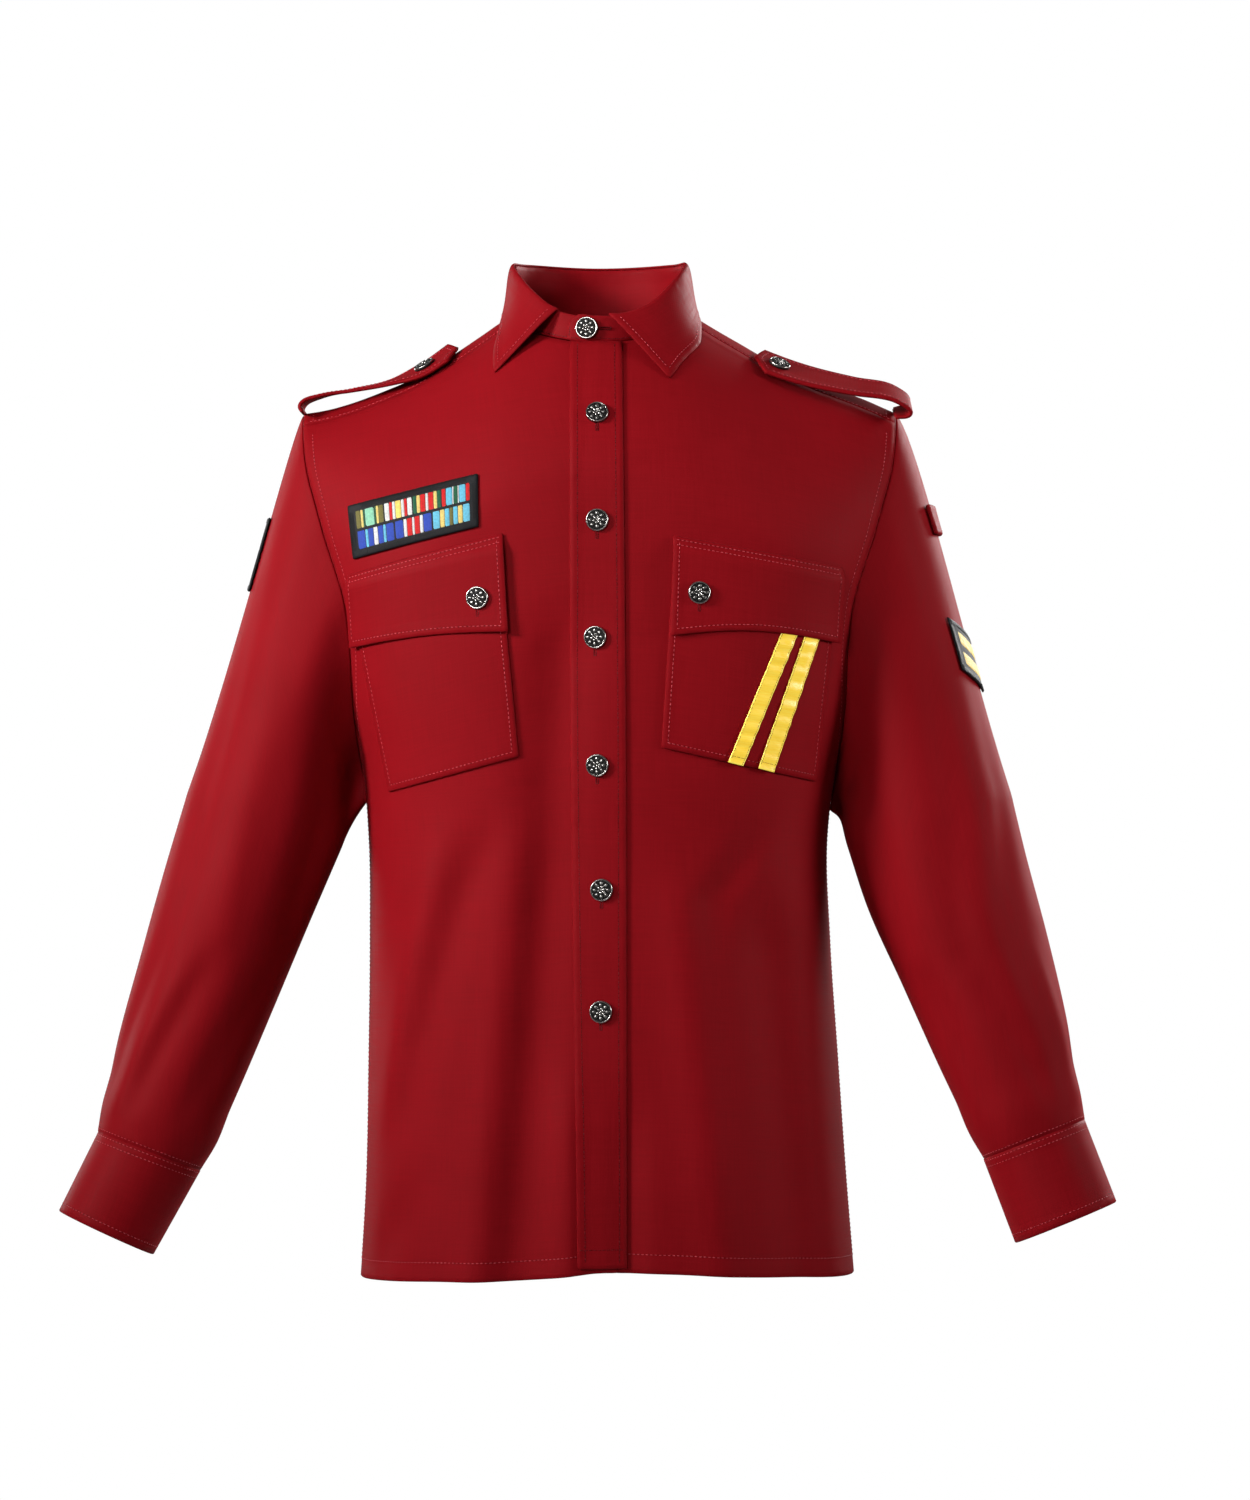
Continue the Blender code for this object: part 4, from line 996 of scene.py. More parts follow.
RED = ((0.190, 0.0024, 0.0048), (0.258, 0.0040, 0.0084))
BLACK = ((0.004, 0.004, 0.005), (0.012, 0.012, 0.014))
RED_SHEEN = dict(Sheen_Weight=0.015, Sheen_Roughness=0.4, Sheen_Tint=(1.0, 0.25, 0.24, 1),
                 Specular_IOR_Level=0.045)
CRIMSON = shirting("crimson_shirting", RED, **RED_SHEEN)
CRIMSON_FIRM = shirting("crimson_interfaced", RED, 0.58, pucker=1.5, **RED_SHEEN)
BLACK_TWILL = shirting("black_patch_twill", BLACK, 0.6, TWILL_THREADS, 0.18, 0.3, Specular_IOR_Level=0.15)
GOLD_SATIN = satin("gold_satin", (0.92, 0.56, 0.02), (1.0, 0.80, 0.11))
# lighter than the cloth: the thread's own crimson raised as a painted highlight for its shine
RED_THREAD = sewing_thread("crimson_thread", (0.42, 0.028, 0.042), (0.60, 0.085, 0.105))
DEEP_THREAD = sewing_thread("buttonhole_thread", (0.06, 0.002, 0.004), (0.17, 0.004, 0.008))
DARK_THREAD = sewing_thread("dark_gold_thread", (0.10, 0.045, 0.008), (0.32, 0.18, 0.03))
COLOURED_THREAD = embroidery("embroidery_thread")
SILVER = antique_silver("antique_silver")


# The pieces as they show: each grid is made finer, gets its wall, and keeps its outer face for stitching
EDGE_ROUND = 0.45  # how far a cloth edge swells, in walls
POCKET_PUFF, PUFF_SHAPE = 1.5, 0.7  # how far a pocket stands off at its middle, and how full it is
FLAP_CURL, CURL_START = 1.4, 0.6  # how far a flap's corners stand off, and from what share down it
SHEETS = {}


def on_front(x, z, lift):
    """Places that stand off the fronts by a lift, and the way out there."""
    y = body_y(FRONT, x, z)
    out = unit(points(body_y(FRONT, x + SHORT_WAY, z) - y, -SHORT_WAY, body_y(FRONT, x, z + SHORT_WAY) - y))
    return points(x, y - SEAM, z) + out * np.asarray(lift)[..., None], out


def squares(columns, rows):
    """The shares across and down of a grid of places."""
    return np.meshgrid(np.linspace(0, 1, columns + 1), np.linspace(0, 1, rows + 1))


def in_corners(corners, u, v):
    """Across and height in a patch with corners top inner, top outer, bottom outer, bottom inner."""
    a, b, c, d = (np.array(p, float)[:, None, None] for p in corners)
    x, z = (a * (1 - u) + b * u) * (1 - v) + (d * (1 - u) + c * u) * v
    return x, z


def front_piece(corners, columns, rows, lift, puff=0.0):
    """A piece that lies on a front between four corners."""
    u, v = squares(columns, rows)
    x, z = in_corners(corners, u, v)
    return on_front(x, z, lift + puff * np.sin(math.pi * u) * np.sin(math.pi * v) ** PUFF_SHAPE)[0]


def flap_grid(side, columns, rows):
    """A pocket's flap, which rises from its seam to lie over the pocket, with a bowed lower edge."""
    u, v = squares(columns, rows)
    x, z = in_corners(FLAP[side], u, v)
    lift = np.interp(v, (FLAP_SEWN, FLAP_RISEN), (LIFT, FLAP_STAND))
    lift = lift + FLAP_CURL * np.clip(v - CURL_START, 0, 1) * np.abs(2 * u - 1) ** 3
    return on_front(x, z + FLAP_BOW[side] * v * np.sin(math.pi * u), lift)[0]


def placket_grid(columns, rows):
    """The front strip, from the collar's seam to the hem."""
    u, v = squares(columns, rows)
    top = float(front_top(0.0)) - PLACKET_TOP_SPACE
    z = top + (PLACKET["height"].min() - top) * v
    free, sewn = read(PLACKET, "height", "free", z), read(PLACKET, "height", "sewn", z)
    x = free + (sewn - free) * u
    return on_front(x, np.minimum(z, front_top(x) - PLACKET_TOP_SPACE), LIFT)[0]


def refine(grid, times, axis, closed=False):
    """More points along an axis, on smooth curves through the grid's own."""
    grid = np.moveaxis(grid, axis, 0)
    if closed:
        ends = grid[-1:], grid[:2]
    else:
        ends = 2 * grid[:1] - grid[1:2], 2 * grid[-1:] - grid[-2:-1]
    steps = len(grid) if closed else len(grid) - 1
    grid = np.concatenate([ends[0], grid, ends[1]])
    at = np.arange(steps * times + (not closed)) / times
    i = np.minimum(at.astype(int), steps - 1)
    t = (at - i)[:, None, None]
    a, b, c, d = grid[i], grid[i + 1], grid[i + 2], grid[i + 3]
    fine = b + t / 2 * (c - a + t * (2 * a - 5 * b + 4 * c - d + t * (3 * (b - c) + d - a)))
    return np.moveaxis(fine, 0, axis)


def finer(grid, times, closed=False):
    """More points both ways."""
    return refine(refine(grid, times, 0), times, 1, closed)


# Soft folds of the sleeves: the angle round the sleeve where each starts and ends, in degrees from its
# outer side over the front, the shares of its length between which it runs, its half width in degrees,
# and how far it goes in (-) or out (+)
SLEEVE_FOLDS = {
    RIGHT: table("turn_top turn_end top end width depth", [
        (25, 60, 0.16, 0.62, 13, -3.0),
        (70, 95, 0.20, 0.66, 12, 2.6),
        (52, 20, 0.52, 0.95, 11, -2.8),
        (95, 58, 0.58, 0.97, 12, -3.2),
        (78, 40, 0.60, 1.00, 10, 2.4),
        (128, 150, 0.18, 0.60, 14, -4.0),
        (150, 110, 0.55, 0.96, 13, -3.0),
        (215, 250, 0.2, 0.7, 15, -4.0),
        (250, 285, 0.35, 0.8, 13, 3.0),
        (300, 330, 0.25, 0.75, 15, -4.0),
        (275, 240, 0.6, 0.97, 14, -3.5),
    ]),
    LEFT: table("turn_top turn_end top end width depth", [
        (20, 55, 0.22, 0.60, 12, -2.6),
        (62, 100, 0.18, 0.66, 13, -3.6),
        (85, 70, 0.40, 0.80, 11, 2.6),
        (100, 62, 0.60, 0.98, 12, -3.4),
        (45, 25, 0.62, 1.00, 11, 2.4),
        (125, 140, 0.18, 0.60, 14, -4.0),
        (140, 120, 0.60, 0.98, 12, -2.6),
        (215, 250, 0.2, 0.7, 15, -4.0),
        (255, 290, 0.35, 0.8, 13, 3.0),
        (305, 330, 0.25, 0.75, 15, -4.0),
        (270, 240, 0.6, 0.97, 14, -3.5),
    ]),
}
# Where the cloth is gathered under an arm: round the sleeve in degrees, and down it as shares
UNDERARM_TURN, UNDERARM_WIDTH = 175, 30
UNDERARM_PLACE, UNDERARM_LENGTH = 0.075, 0.07
UNDERARM_SWELL = {RIGHT: 0.0, LEFT: 5.2}
CUFF_BULGE, BULGE_LENGTH = 1.2, 0.12  # how far a sleeve swells above its cuff, and over what share
CUFF_TUCK, TUCK_LENGTH = 1.5, 0.05  # how far its end draws in to meet the cuff, and over what share
CUFF_PLEATS = ((250, 7, -2.5), (228, 7, -2.5))  # angle and half width in degrees, and depth
PLEAT_START, PLEAT_LENGTH = 0.8, 0.18  # the share down the sleeve at which they begin to deepen


def sleeve_folded(grid, side):
    """A sleeve with its soft folds, the pleats at the cuff, and its swell above the cuff."""
    rows, columns = grid.shape[:2]
    v = np.linspace(0, 1, rows)[:, None]
    turns = (np.arange(columns) * 360 / columns)[None]
    folds = SLEEVE_FOLDS[side]
    push = np.zeros((rows, columns))
    for n in range(len(folds["top"])):
        t = np.clip((v - folds["top"][n]) / (folds["end"][n] - folds["top"][n]), 0, 1)
        middle = folds["turn_top"][n] + t * (folds["turn_end"][n] - folds["turn_top"][n])
        away = (turns - middle + 180) % 360 - 180
        push += folds["depth"][n] * np.sin(math.pi * t) ** 0.8 * np.exp(-((away / folds["width"][n]) ** 2))
    for turn, width, depth in CUFF_PLEATS:
        away = (turns - turn + 180) % 360 - 180
        deepened = np.clip((v - PLEAT_START) / PLEAT_LENGTH, 0, 1) ** 2
        push += depth * deepened * np.exp(-((away / width) ** 2))
    gathered = np.exp(-(((v - UNDERARM_PLACE) / UNDERARM_LENGTH) ** 2))
    push += UNDERARM_SWELL[side] * gathered * np.exp(-(((turns - UNDERARM_TURN) / UNDERARM_WIDTH) ** 2))
    swelled = np.clip((v - 1 + BULGE_LENGTH) / BULGE_LENGTH, 0, 1)
    push += CUFF_BULGE * np.sin(math.pi * swelled) ** 1.5
    push *= np.clip((1 - v) / TUCK_LENGTH, 0, 1)
    push -= CUFF_TUCK * np.clip((v - 1 + TUCK_LENGTH) / TUCK_LENGTH, 0, 1) ** 2
    normal, _ = facing(grid, from_arm(side), closed=True)
    return grid + normal * push[..., None]


def from_spine(p):
    """Outwards from the body's upright middle line, and up on the shoulders."""
    return points(p[..., 0] / 2, p[..., 1], np.maximum(p[..., 2] - SHOULDER_START, 0))


def upwards(p):
    """Straight up."""
    return points(0 * p[..., 0], 0, 1)


def from_arm(side):
    """Outwards from a sleeve's middle line."""
    rows = SLEEVE[side]
    heights = np.append(rows["height"], ARM_TOP[1])
    across = np.append(rows["across"], ARM_TOP[0])
    forward = np.append(rows["forward"], 0)

    def out(p):
        z = p[..., 2]
        return points(p[..., 0] - side * np.interp(z, heights, across),
                      p[..., 1] + np.interp(z, heights, forward), 0)

    return out


TINY = 1e-12  # keeps a length of nothing from being divided by


def facing(grid, outward, closed):
    """The way out at each point of a grid, and whether its faces run the other way round."""
    down = np.gradient(grid, axis=0)
    if closed:
        across = np.roll(grid, -1, 1) - np.roll(grid, 1, 1)
    else:
        across = np.gradient(grid, axis=1)
    normal = np.cross(across, down)
    normal /= np.linalg.norm(normal, axis=-1, keepdims=True) + TINY
    turned = float((normal * outward(grid)).sum()) < 0
    return (-normal if turned else normal), turned


def run_lengths(grid, axis):
    """The length walked along an axis to each point."""
    steps = np.linalg.norm(np.diff(grid, axis=axis), axis=-1)
    return np.insert(np.cumsum(steps, axis=axis), 0, 0, axis=axis)


def edge_loops(rows, columns, closed):
    """Each open edge of a grid as rows and columns, in the order that its faces run."""
    if closed:
        j = np.arange(columns)
        return [(0 * j, j), (0 * j + rows - 1, j[::-1])]
    i = [[0] * columns, range(1, rows), [rows - 1] * (columns - 1), range(rows - 2, 0, -1)]
    j = [range(columns), [columns - 1] * (rows - 1), range(columns - 2, -1, -1), [0] * (rows - 2)]
    return [(np.concatenate(i).astype(int), np.concatenate(j).astype(int))]


def new_mesh(name, spots, faces):
    """A smooth mesh from places in millimetres and a list of faces."""
    mesh = bpy.data.meshes.new(name)
    mesh.from_pydata(spots * MM, [], faces)
    mesh.shade_smooth()
    return mesh


def carry(mesh, name, values):
    """A value at each point that the mesh's finish reads."""
    colours = np.ndim(values) > 1
    made = mesh.attributes.new(name, "FLOAT_COLOR" if colours else "FLOAT", "POINT")
    made.data.foreach_set("color" if colours else "value", np.ravel(values).astype(np.float32))


def squares_of(number):
    """The faces between the numbered points of a grid."""
    quads = np.stack([number[:-1, :-1], number[:-1, 1:], number[1:, 1:], number[1:, :-1]], -1)
    return quads.reshape(-1, 4)


def walled(name, outer, inner, turned, closed):
    """A closed thin wall between two grids of points, with rounded edges and its cut as UVs."""
    rows, columns = outer.shape[:2]
    spots = [outer.reshape(-1, 3), inner.reshape(-1, 3)]
    number = np.arange(rows * columns).reshape(rows, columns)
    quads = squares_of(np.concatenate([number, number[:, :1]], axis=1) if closed else number)
    faces = [quads, quads[:, ::-1] + rows * columns]
    owner = [number.ravel(), number.ravel()]
    middle = (outer + inner) / 2
    count = 2 * rows * columns
    for i, j in edge_loops(rows, columns, closed):
        k = (i, j)
        inside = (np.clip(i, 1, rows - 2), j if closed else np.clip(j, 1, columns - 2))
        away = middle[k] - middle[inside]
        away /= np.linalg.norm(away, axis=-1, keepdims=True) + TINY
        wall = np.linalg.norm(outer[k] - inner[k], axis=-1, keepdims=True)
        spots.append(middle[k] + away * wall * EDGE_ROUND)
        rim = count + np.arange(len(i))
        count += len(i)
        owner.append(number[k])
        here, other = number[k], number[k] + rows * columns
        for a, b in ((here, rim), (rim, other)):
            faces.append(np.stack([np.roll(a, -1), a, b, np.roll(b, -1)], -1))
    faces = np.concatenate(faces)
    if turned:
        faces = faces[:, ::-1]
    mesh = new_mesh(name, np.concatenate(spots), faces.tolist())
    across, down = run_lengths(outer, 1), run_lengths(outer, 0)
    owner = np.concatenate(owner)
    cut = np.stack([across.ravel()[owner], down.ravel()[owner]], -1) * MM
    at = cut[faces]
    if closed:
        round_length = float(across.max()) * MM
        wraps = at[..., 0].max(1) - at[..., 0].min(1) > round_length / 2
        low = at[..., 0] < round_length / 2
        at[..., 0] += np.where(wraps[:, None] & low, round_length, 0)
    mesh.uv_layers.new(name="cut").data.foreach_set("uv", at.ravel())
    inset = [down, down[-1:] - down] + ([] if closed else [across, across[:, -1:] - across])
    carry(mesh, "edge", np.min(np.broadcast_arrays(*inset), axis=0).ravel()[owner] * MM)
    return mesh


def add_piece(mesh, material, sheet=None):
    """A finished piece in the scene, which moves with the shirt's one body, and the sheet that it is on."""
    piece = bpy.data.objects.new(mesh.name, mesh)
    bpy.context.scene.collection.objects.link(piece)
    if not mesh.materials:
        mesh.materials.append(material)
    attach(piece, "root")
    if sheet:
        SHEETS[sheet]["with"].append(piece)
    return piece


def cloth(name, grid, outward, material, wall=WALL, out=False, closed=False):
    """A sheet of cloth in place of the node of the same name, its wall outside the grid or inside it."""
    normal, turned = facing(grid, outward, closed)
    outer = grid + normal * wall if out else grid
    inner = grid if out else grid - normal * wall
    piece = add_piece(walled("cloth_" + name, outer, inner, turned, closed), material)
    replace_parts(piece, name)
    SHEETS[name] = {"face": outer, "out": normal, "closed": closed, "piece": piece, "with": []}


# Sewing. A line of stitches runs inside a piece's edge: 0 its first row, 1 its last row, 2 its first
# column, 3 its last column.
STITCH_LENGTH, STITCH_GAP = 2.2, 1.2
STITCH_HALF, STITCH_HEIGHT = 0.30, 0.30
STITCH_ENDS, STITCH_ROOT = 0.05, 0.15  # how deep its ends and its under side lie in the cloth
STITCH_FULL = (0.22, 0.78)  # the shares of its length between which it has its full thickness
HOLE_SHADE_HALF, HOLE_SHADE_LIFT = 0.34, 0.05  # the flat dark mark of painted shade for the needle holes between two stitches: half its size, and its lift
HOLE_SHADE_STRETCH = 1.3  # how much longer than wide that painted shade mark is
BUTTONHOLE, BUTTONHOLE_PITCH = 17.0, 0.62  # its length, and the distance between its threads
BUTTONHOLE_SLIT, BUTTONHOLE_REACH = 0.18, 1.35  # where its threads start and end beside its middle
BUTTONHOLE_THREAD, RIBBON_THREAD = (0.26, 0.34), (0.22, 0.25)  # half width and height
SEWN = {}


def beside_edge(name, edge, inset):
    """The line on a piece that lies an inset inside one of its edges, and the way out along it."""
    face, out = SHEETS[name]["face"], SHEETS[name]["out"]
    if SHEETS[name]["closed"]:
        face, out = (np.concatenate([a, a[:, :1]], axis=1) for a in (face, out))
    if edge > 1:
        face, out = face.swapaxes(0, 1), out.swapaxes(0, 1)
    if edge % 2:
        face, out = face[::-1], out[::-1]
    run = run_lengths(face, 0)
    i = np.clip((run < inset).sum(0) - 1, 0, len(face) - 2)
    k = np.arange(face.shape[1])
    t = ((inset - run[i, k]) / (run[i + 1, k] - run[i, k] + 1e-9))[:, None]
    return face[i, k] * (1 - t) + face[i + 1, k] * t, out[i, k]


def stitched(line, out, trim):
    """Stitches along a line as their starts, ends and ways out."""
    run = run_lengths(line, 0)
    starts = np.arange(trim, run[-1] - trim - STITCH_LENGTH, STITCH_LENGTH + STITCH_GAP)

    def at(places, values):
        return np.stack([np.interp(places, run, values[:, k]) for k in range(3)], 1)

    return at(starts, line), at(starts + STITCH_LENGTH, line), at(starts + STITCH_LENGTH / 2, out)


def sew(name, lines):
    """Adds stitches to a piece: rows of (edge, inset, trim)."""
    for edge, inset, trim in lines:
        SEWN.setdefault(name, []).append(stitched(*beside_edge(name, edge, inset), trim))


def thread_mesh(name, sets, half=STITCH_HALF, height=STITCH_HEIGHT, with_hole_shade=True):
    """Stitches as small rounded threads that lie on the cloth, each followed by a flat mark of painted shade
    where the needle went through.
    """
    start, end, out = (np.concatenate(part) for part in zip(*sets))
    along_it = end - start
    side = np.cross(along_it, out)
    side /= np.linalg.norm(side, axis=1, keepdims=True) + TINY
    rings = [start - out * STITCH_ENDS]
    for share in STITCH_FULL:
        middle = start + along_it * share
        rings += [middle + side * half, middle + out * height]
        rings += [middle - side * half, middle - out * STITCH_ROOT]
    rings.append(end - out * STITCH_ENDS)
    spots = np.stack(rings, 1).reshape(-1, 3)
    shape = [(0, 1 + (k + 1) % 4, 1 + k) for k in range(4)]
    shape += [(9, 5 + k, 5 + (k + 1) % 4) for k in range(4)]
    shape += [(1 + k, 1 + (k + 1) % 4, 5 + (k + 1) % 4, 5 + k) for k in range(4)]
    faces = [tuple(10 * n + v for v in face) for n in range(len(start)) for face in shape]
    holes = np.zeros((0, 3))
    # the needle holes are flat quads just above the cloth, drawn near black as painted shade
    if with_hole_shade:
        ahead = unit(along_it) * HOLE_SHADE_HALF * HOLE_SHADE_STRETCH
        middle = end + ahead + out * HOLE_SHADE_LIFT
        side = side * HOLE_SHADE_HALF
        holes = np.stack([middle - ahead, middle + side, middle + ahead, middle - side], 1).reshape(-1, 3)
        faces += (len(spots) + np.arange(len(holes)).reshape(-1, 4)).tolist()
    mesh = new_mesh(name, np.concatenate([spots, holes]), faces)
    carry(mesh, "painted_hole_shade", np.concatenate([np.zeros(len(spots)), np.ones(len(holes))]))
    return mesh


def buttonhole(middle, down, out):
    """A worked buttonhole: two rows of short threads across a slit, with a bar at each end."""
    side = np.cross(down, out)
    starts, ends = [], []
    for place in np.arange(-BUTTONHOLE / 2, BUTTONHOLE / 2, BUTTONHOLE_PITCH):
        for way in (-1, 1):
            starts.append(middle + down * place + side * way * BUTTONHOLE_SLIT)
            ends.append(middle + down * place + side * way * BUTTONHOLE_REACH)
    for way in (-1, 1):
        starts.append(middle + down * way * BUTTONHOLE / 2 - side * BUTTONHOLE_REACH)
        ends.append(middle + down * way * BUTTONHOLE / 2 + side * BUTTONHOLE_REACH)
    return np.array(starts), np.array(ends), np.repeat(out[None], len(starts), axis=0)


# The cloth pieces
FRONT_PARTS = {
    "right": ((RIGHT, -CORNER_ACROSS, 18), (-CORNER_ACROSS, FRONTS_MEET - SEAM, 9)),
    "left": ((FRONTS_MEET + SEAM, CORNER_ACROSS, 6), (CORNER_ACROSS, LEFT, 18)),
}
for word, parts in FRONT_PARTS.items():
    cloth("front_" + word, finer(panel(FRONT, parts, 34, 30, front_top), 3), from_spine, CRIMSON)
cloth("back", finer(panel(BACK, ((RIGHT, LEFT, 46),), 30, 26, yoke_back), 3), from_spine, CRIMSON)
cloth("yoke", finer(yoke_grid(14, 14, 10), 3), from_spine, CRIMSON)
cloth("placket", finer(placket_grid(6, 110), 2), from_spine, CRIMSON_FIRM, out=True)
cloth("collar_stand", finer(stand_grid(60, 6), 2), from_spine, CRIMSON_FIRM, FIRM_WALL)
LEAF_LEVELS = (0, 0.035, 0.07, 0.12, 0.2, 0.3, 0.4, 0.5, 0.6, 0.7, 0.8, 0.9, 1)
cloth("collar_leaf", finer(leaf_grid(60, LEAF_LEVELS), 2), from_spine, CRIMSON_FIRM, FIRM_WALL, out=True)

for side, word in SIDES:
    arm = from_arm(side)
    sleeve = finer(sleeve_folded(sleeve_grid(side, 56, 18, 34), side), 2, closed=True)
    cloth("sleeve_" + word, sleeve, arm, CRIMSON, closed=True)
    cloth("cuff_" + word, finer(cuff_grid(side, 66, 8), 2), arm, CRIMSON_FIRM, FIRM_WALL)
    cloth("pocket_" + word, front_piece(POCKET[side], 44, 50, LIFT, POCKET_PUFF), from_spine, CRIMSON,
          out=True)
    cloth("flap_" + word, flap_grid(side, 44, 24), from_spine, CRIMSON_FIRM, FIRM_WALL, out=True)
    cloth("epaulette_" + word, finer(strap_grid(side, 40, 8), 2), upwards, CRIMSON_FIRM, STRAP_WALL,
          out=True)
    for name, (on_side, first, last, top, bottom, hang, wall) in SLEEVE_PIECES.items():
        if on_side == side:
            patch = sleeve_piece_grid(sleeve, side, first, last, top, bottom, hang, 24)
            is_tab = name == "sleeve_tab"
            cloth(name, patch, arm, CRIMSON_FIRM if is_tab else BLACK_TWILL, wall, out=True)
cloth("ribbon_patch", front_piece(RIBBON_PATCH, 60, 26, LIFT), from_spine, BLACK_TWILL, PATCH_WALL,
      out=True)

# Satin ribbons: the height and number of their ripples, how uneven these are, and where each ribbon's
# are strongest
SATIN_RIPPLE, SATIN_RIPPLES = 0.42, 10
RIPPLE_LEAST, RIPPLE_DRIFT, RIPPLE_SWELL = 0.35, 7, 5.2
STRIPE_PHASE = {"stripe_inner": 0.6, "stripe_outer": 2.1}
STRIPE_ROWS = 96
STRIPE_LIFT = LIFT + WALL + SEAM + POCKET_PUFF * 0.6
for name, corners in STRIPES.items():
    share, phase = np.linspace(0, 1, STRIPE_ROWS + 1)[:, None], STRIPE_PHASE[name]
    ripple = 1 + np.sin(share * SATIN_RIPPLES * 2 * math.pi + phase * np.sin(share * RIPPLE_DRIFT))
    strength = RIPPLE_LEAST + (1 - RIPPLE_LEAST) * np.sin(share * RIPPLE_SWELL + phase) ** 2
    cloth(name, front_piece(corners, 8, STRIPE_ROWS, STRIPE_LIFT + SATIN_RIPPLE * ripple * strength),
          from_spine, GOLD_SATIN, SATIN_WALL, out=True)


# The seam allowance that shows in the grooves of the armholes and above the cuffs
WELT, WELT_SIDES = 0.9, 8
SUNK_ARMHOLE, SUNK_CUFF = 1.1 * WELT, 1.2 * WELT
WELT_FULL = 1.5  # how much thicker an armhole's welt is at its lowest point
WELT_LEVEL = 25.0  # the height over which it sinks, above that point


def resampled(loop, count):
    """A closed loop's points, evenly spaced by their number."""
    places = np.linspace(0, len(loop), count, endpoint=False)
    loop = np.concatenate([loop, loop[:1]])
    return np.stack([np.interp(places, np.arange(len(loop)), loop[:, k]) for k in range(3)], 1)


def welt(name, owner, one, other, inwards, sunk, radius=WELT):
    """A rounded fold of cloth in the groove between two loops, sunk below their faces."""
    middle = (one + other) / 2 + inwards * sunk
    ahead = unit(np.roll(middle, -1, 0) - np.roll(middle, 1, 0))
    aside = unit(np.cross(ahead, inwards))
    turns = np.arange(WELT_SIDES)[None, :, None] * 2 * math.pi / WELT_SIDES
    round_it = inwards[:, None] * np.cos(turns) + aside[:, None] * np.sin(turns)
    tube = middle[:, None] + np.reshape(radius, (-1, 1, 1)) * round_it
    number = np.arange(len(tube) * WELT_SIDES).reshape(-1, WELT_SIDES)
    quads = squares_of(np.pad(number, ((0, 1), (0, 1)), "wrap"))
    add_piece(new_mesh(name, tube.reshape(-1, 3), quads.tolist()), CRIMSON_FIRM, owner)


for side, word in SIDES:
    sleeve = SHEETS["sleeve_" + word]
    seam = armhole_line(side, 160)
    risen = np.clip((seam[:, 2:] - seam[:, 2].min()) / WELT_LEVEL, 0, 1)
    welt("welt_armhole_" + word, "sleeve_" + word, seam, resampled(sleeve["face"][0], len(seam)),
         -unit(from_spine(seam)), SUNK_ARMHOLE * risen, WELT * (WELT_FULL - (WELT_FULL - 1) * risen))
    end = sleeve["face"][-1]
    down = ring(side, CUFF[side], float(CUFF[side]["height"].max()), np.zeros(1))[1]
    welt("welt_cuff_" + word, "cuff_" + word, end, end + down * 2 * SEAM, -sleeve["out"][-1], SUNK_CUFF)


# The sewing: for each piece its lines as (edge, inset, trim), where trim is left bare at each end
HEM_LINE, ARMHOLE_LINE, PLACKET_LINE = 14.0, 7.0, 5.4
TOPSTITCH, SECOND_TOPSTITCH = 1.6, 6.6
EDGE_LINE, LEAF_LINE = 4.2, 5.0
SEAM_LINE = 1.8  # of a cuff's and a flap's seam
SEWING = {
    "front_right": [(0, HEM_LINE, 3), (2, ARMHOLE_LINE, 12)],
    "front_left": [(0, HEM_LINE, 8), (3, ARMHOLE_LINE, 12)],
    "back": [(0, HEM_LINE, 3), (2, TOPSTITCH, 3), (3, TOPSTITCH, 3)],
    "yoke": [(2, TOPSTITCH, 4), (3, TOPSTITCH, 4), (3, SECOND_TOPSTITCH, 4), (0, ARMHOLE_LINE, 2),
             (1, ARMHOLE_LINE, 2)],
    "placket": [(2, PLACKET_LINE, 3), (3, PLACKET_LINE, 3), (1, HEM_LINE, 1)],
    "collar_stand": [(0, TOPSTITCH, 3), (3, TOPSTITCH, 3)],
    "collar_leaf": [(edge, LEAF_LINE, 5) for edge in (1, 2, 3)],
}
for _, word in SIDES:
    SEWING["cuff_" + word] = [(0, SEAM_LINE, 2), (0, 6.5, 2), (1, 6.2, 5), (2, EDGE_LINE, 5),
                              (3, EDGE_LINE, 5)]
    SEWING["pocket_" + word] = [(edge, EDGE_LINE, 4) for edge in (1, 2, 3)]
    SEWING["flap_" + word] = [(0, SEAM_LINE, 2), (0, 6.0, 2), *SEWING["pocket_" + word]]
    SEWING["epaulette_" + word] = [(edge, EDGE_LINE, 4) for edge in (0, 1, 3)]
    SEWING["sleeve_" + word] = [(1, 2.2, 0)]
SEWING["sleeve_tab"] = [(0, 2, 1), (1, 2, 1)]
for name, lines in SEWING.items():
    sew(name, lines)
    colour = DEEP_THREAD if name in ("placket", "collar_stand") else RED_THREAD
    add_piece(thread_mesh("stitches_" + name, SEWN[name]), colour, name)
for name in STRIPES:
    sew(name, [(2, 0.9, 1), (3, 0.9, 1), (1, 5.4, 1)])
    add_piece(thread_mesh("stitches_" + name, SEWN[name], *RIBBON_THREAD), DARK_THREAD, name)


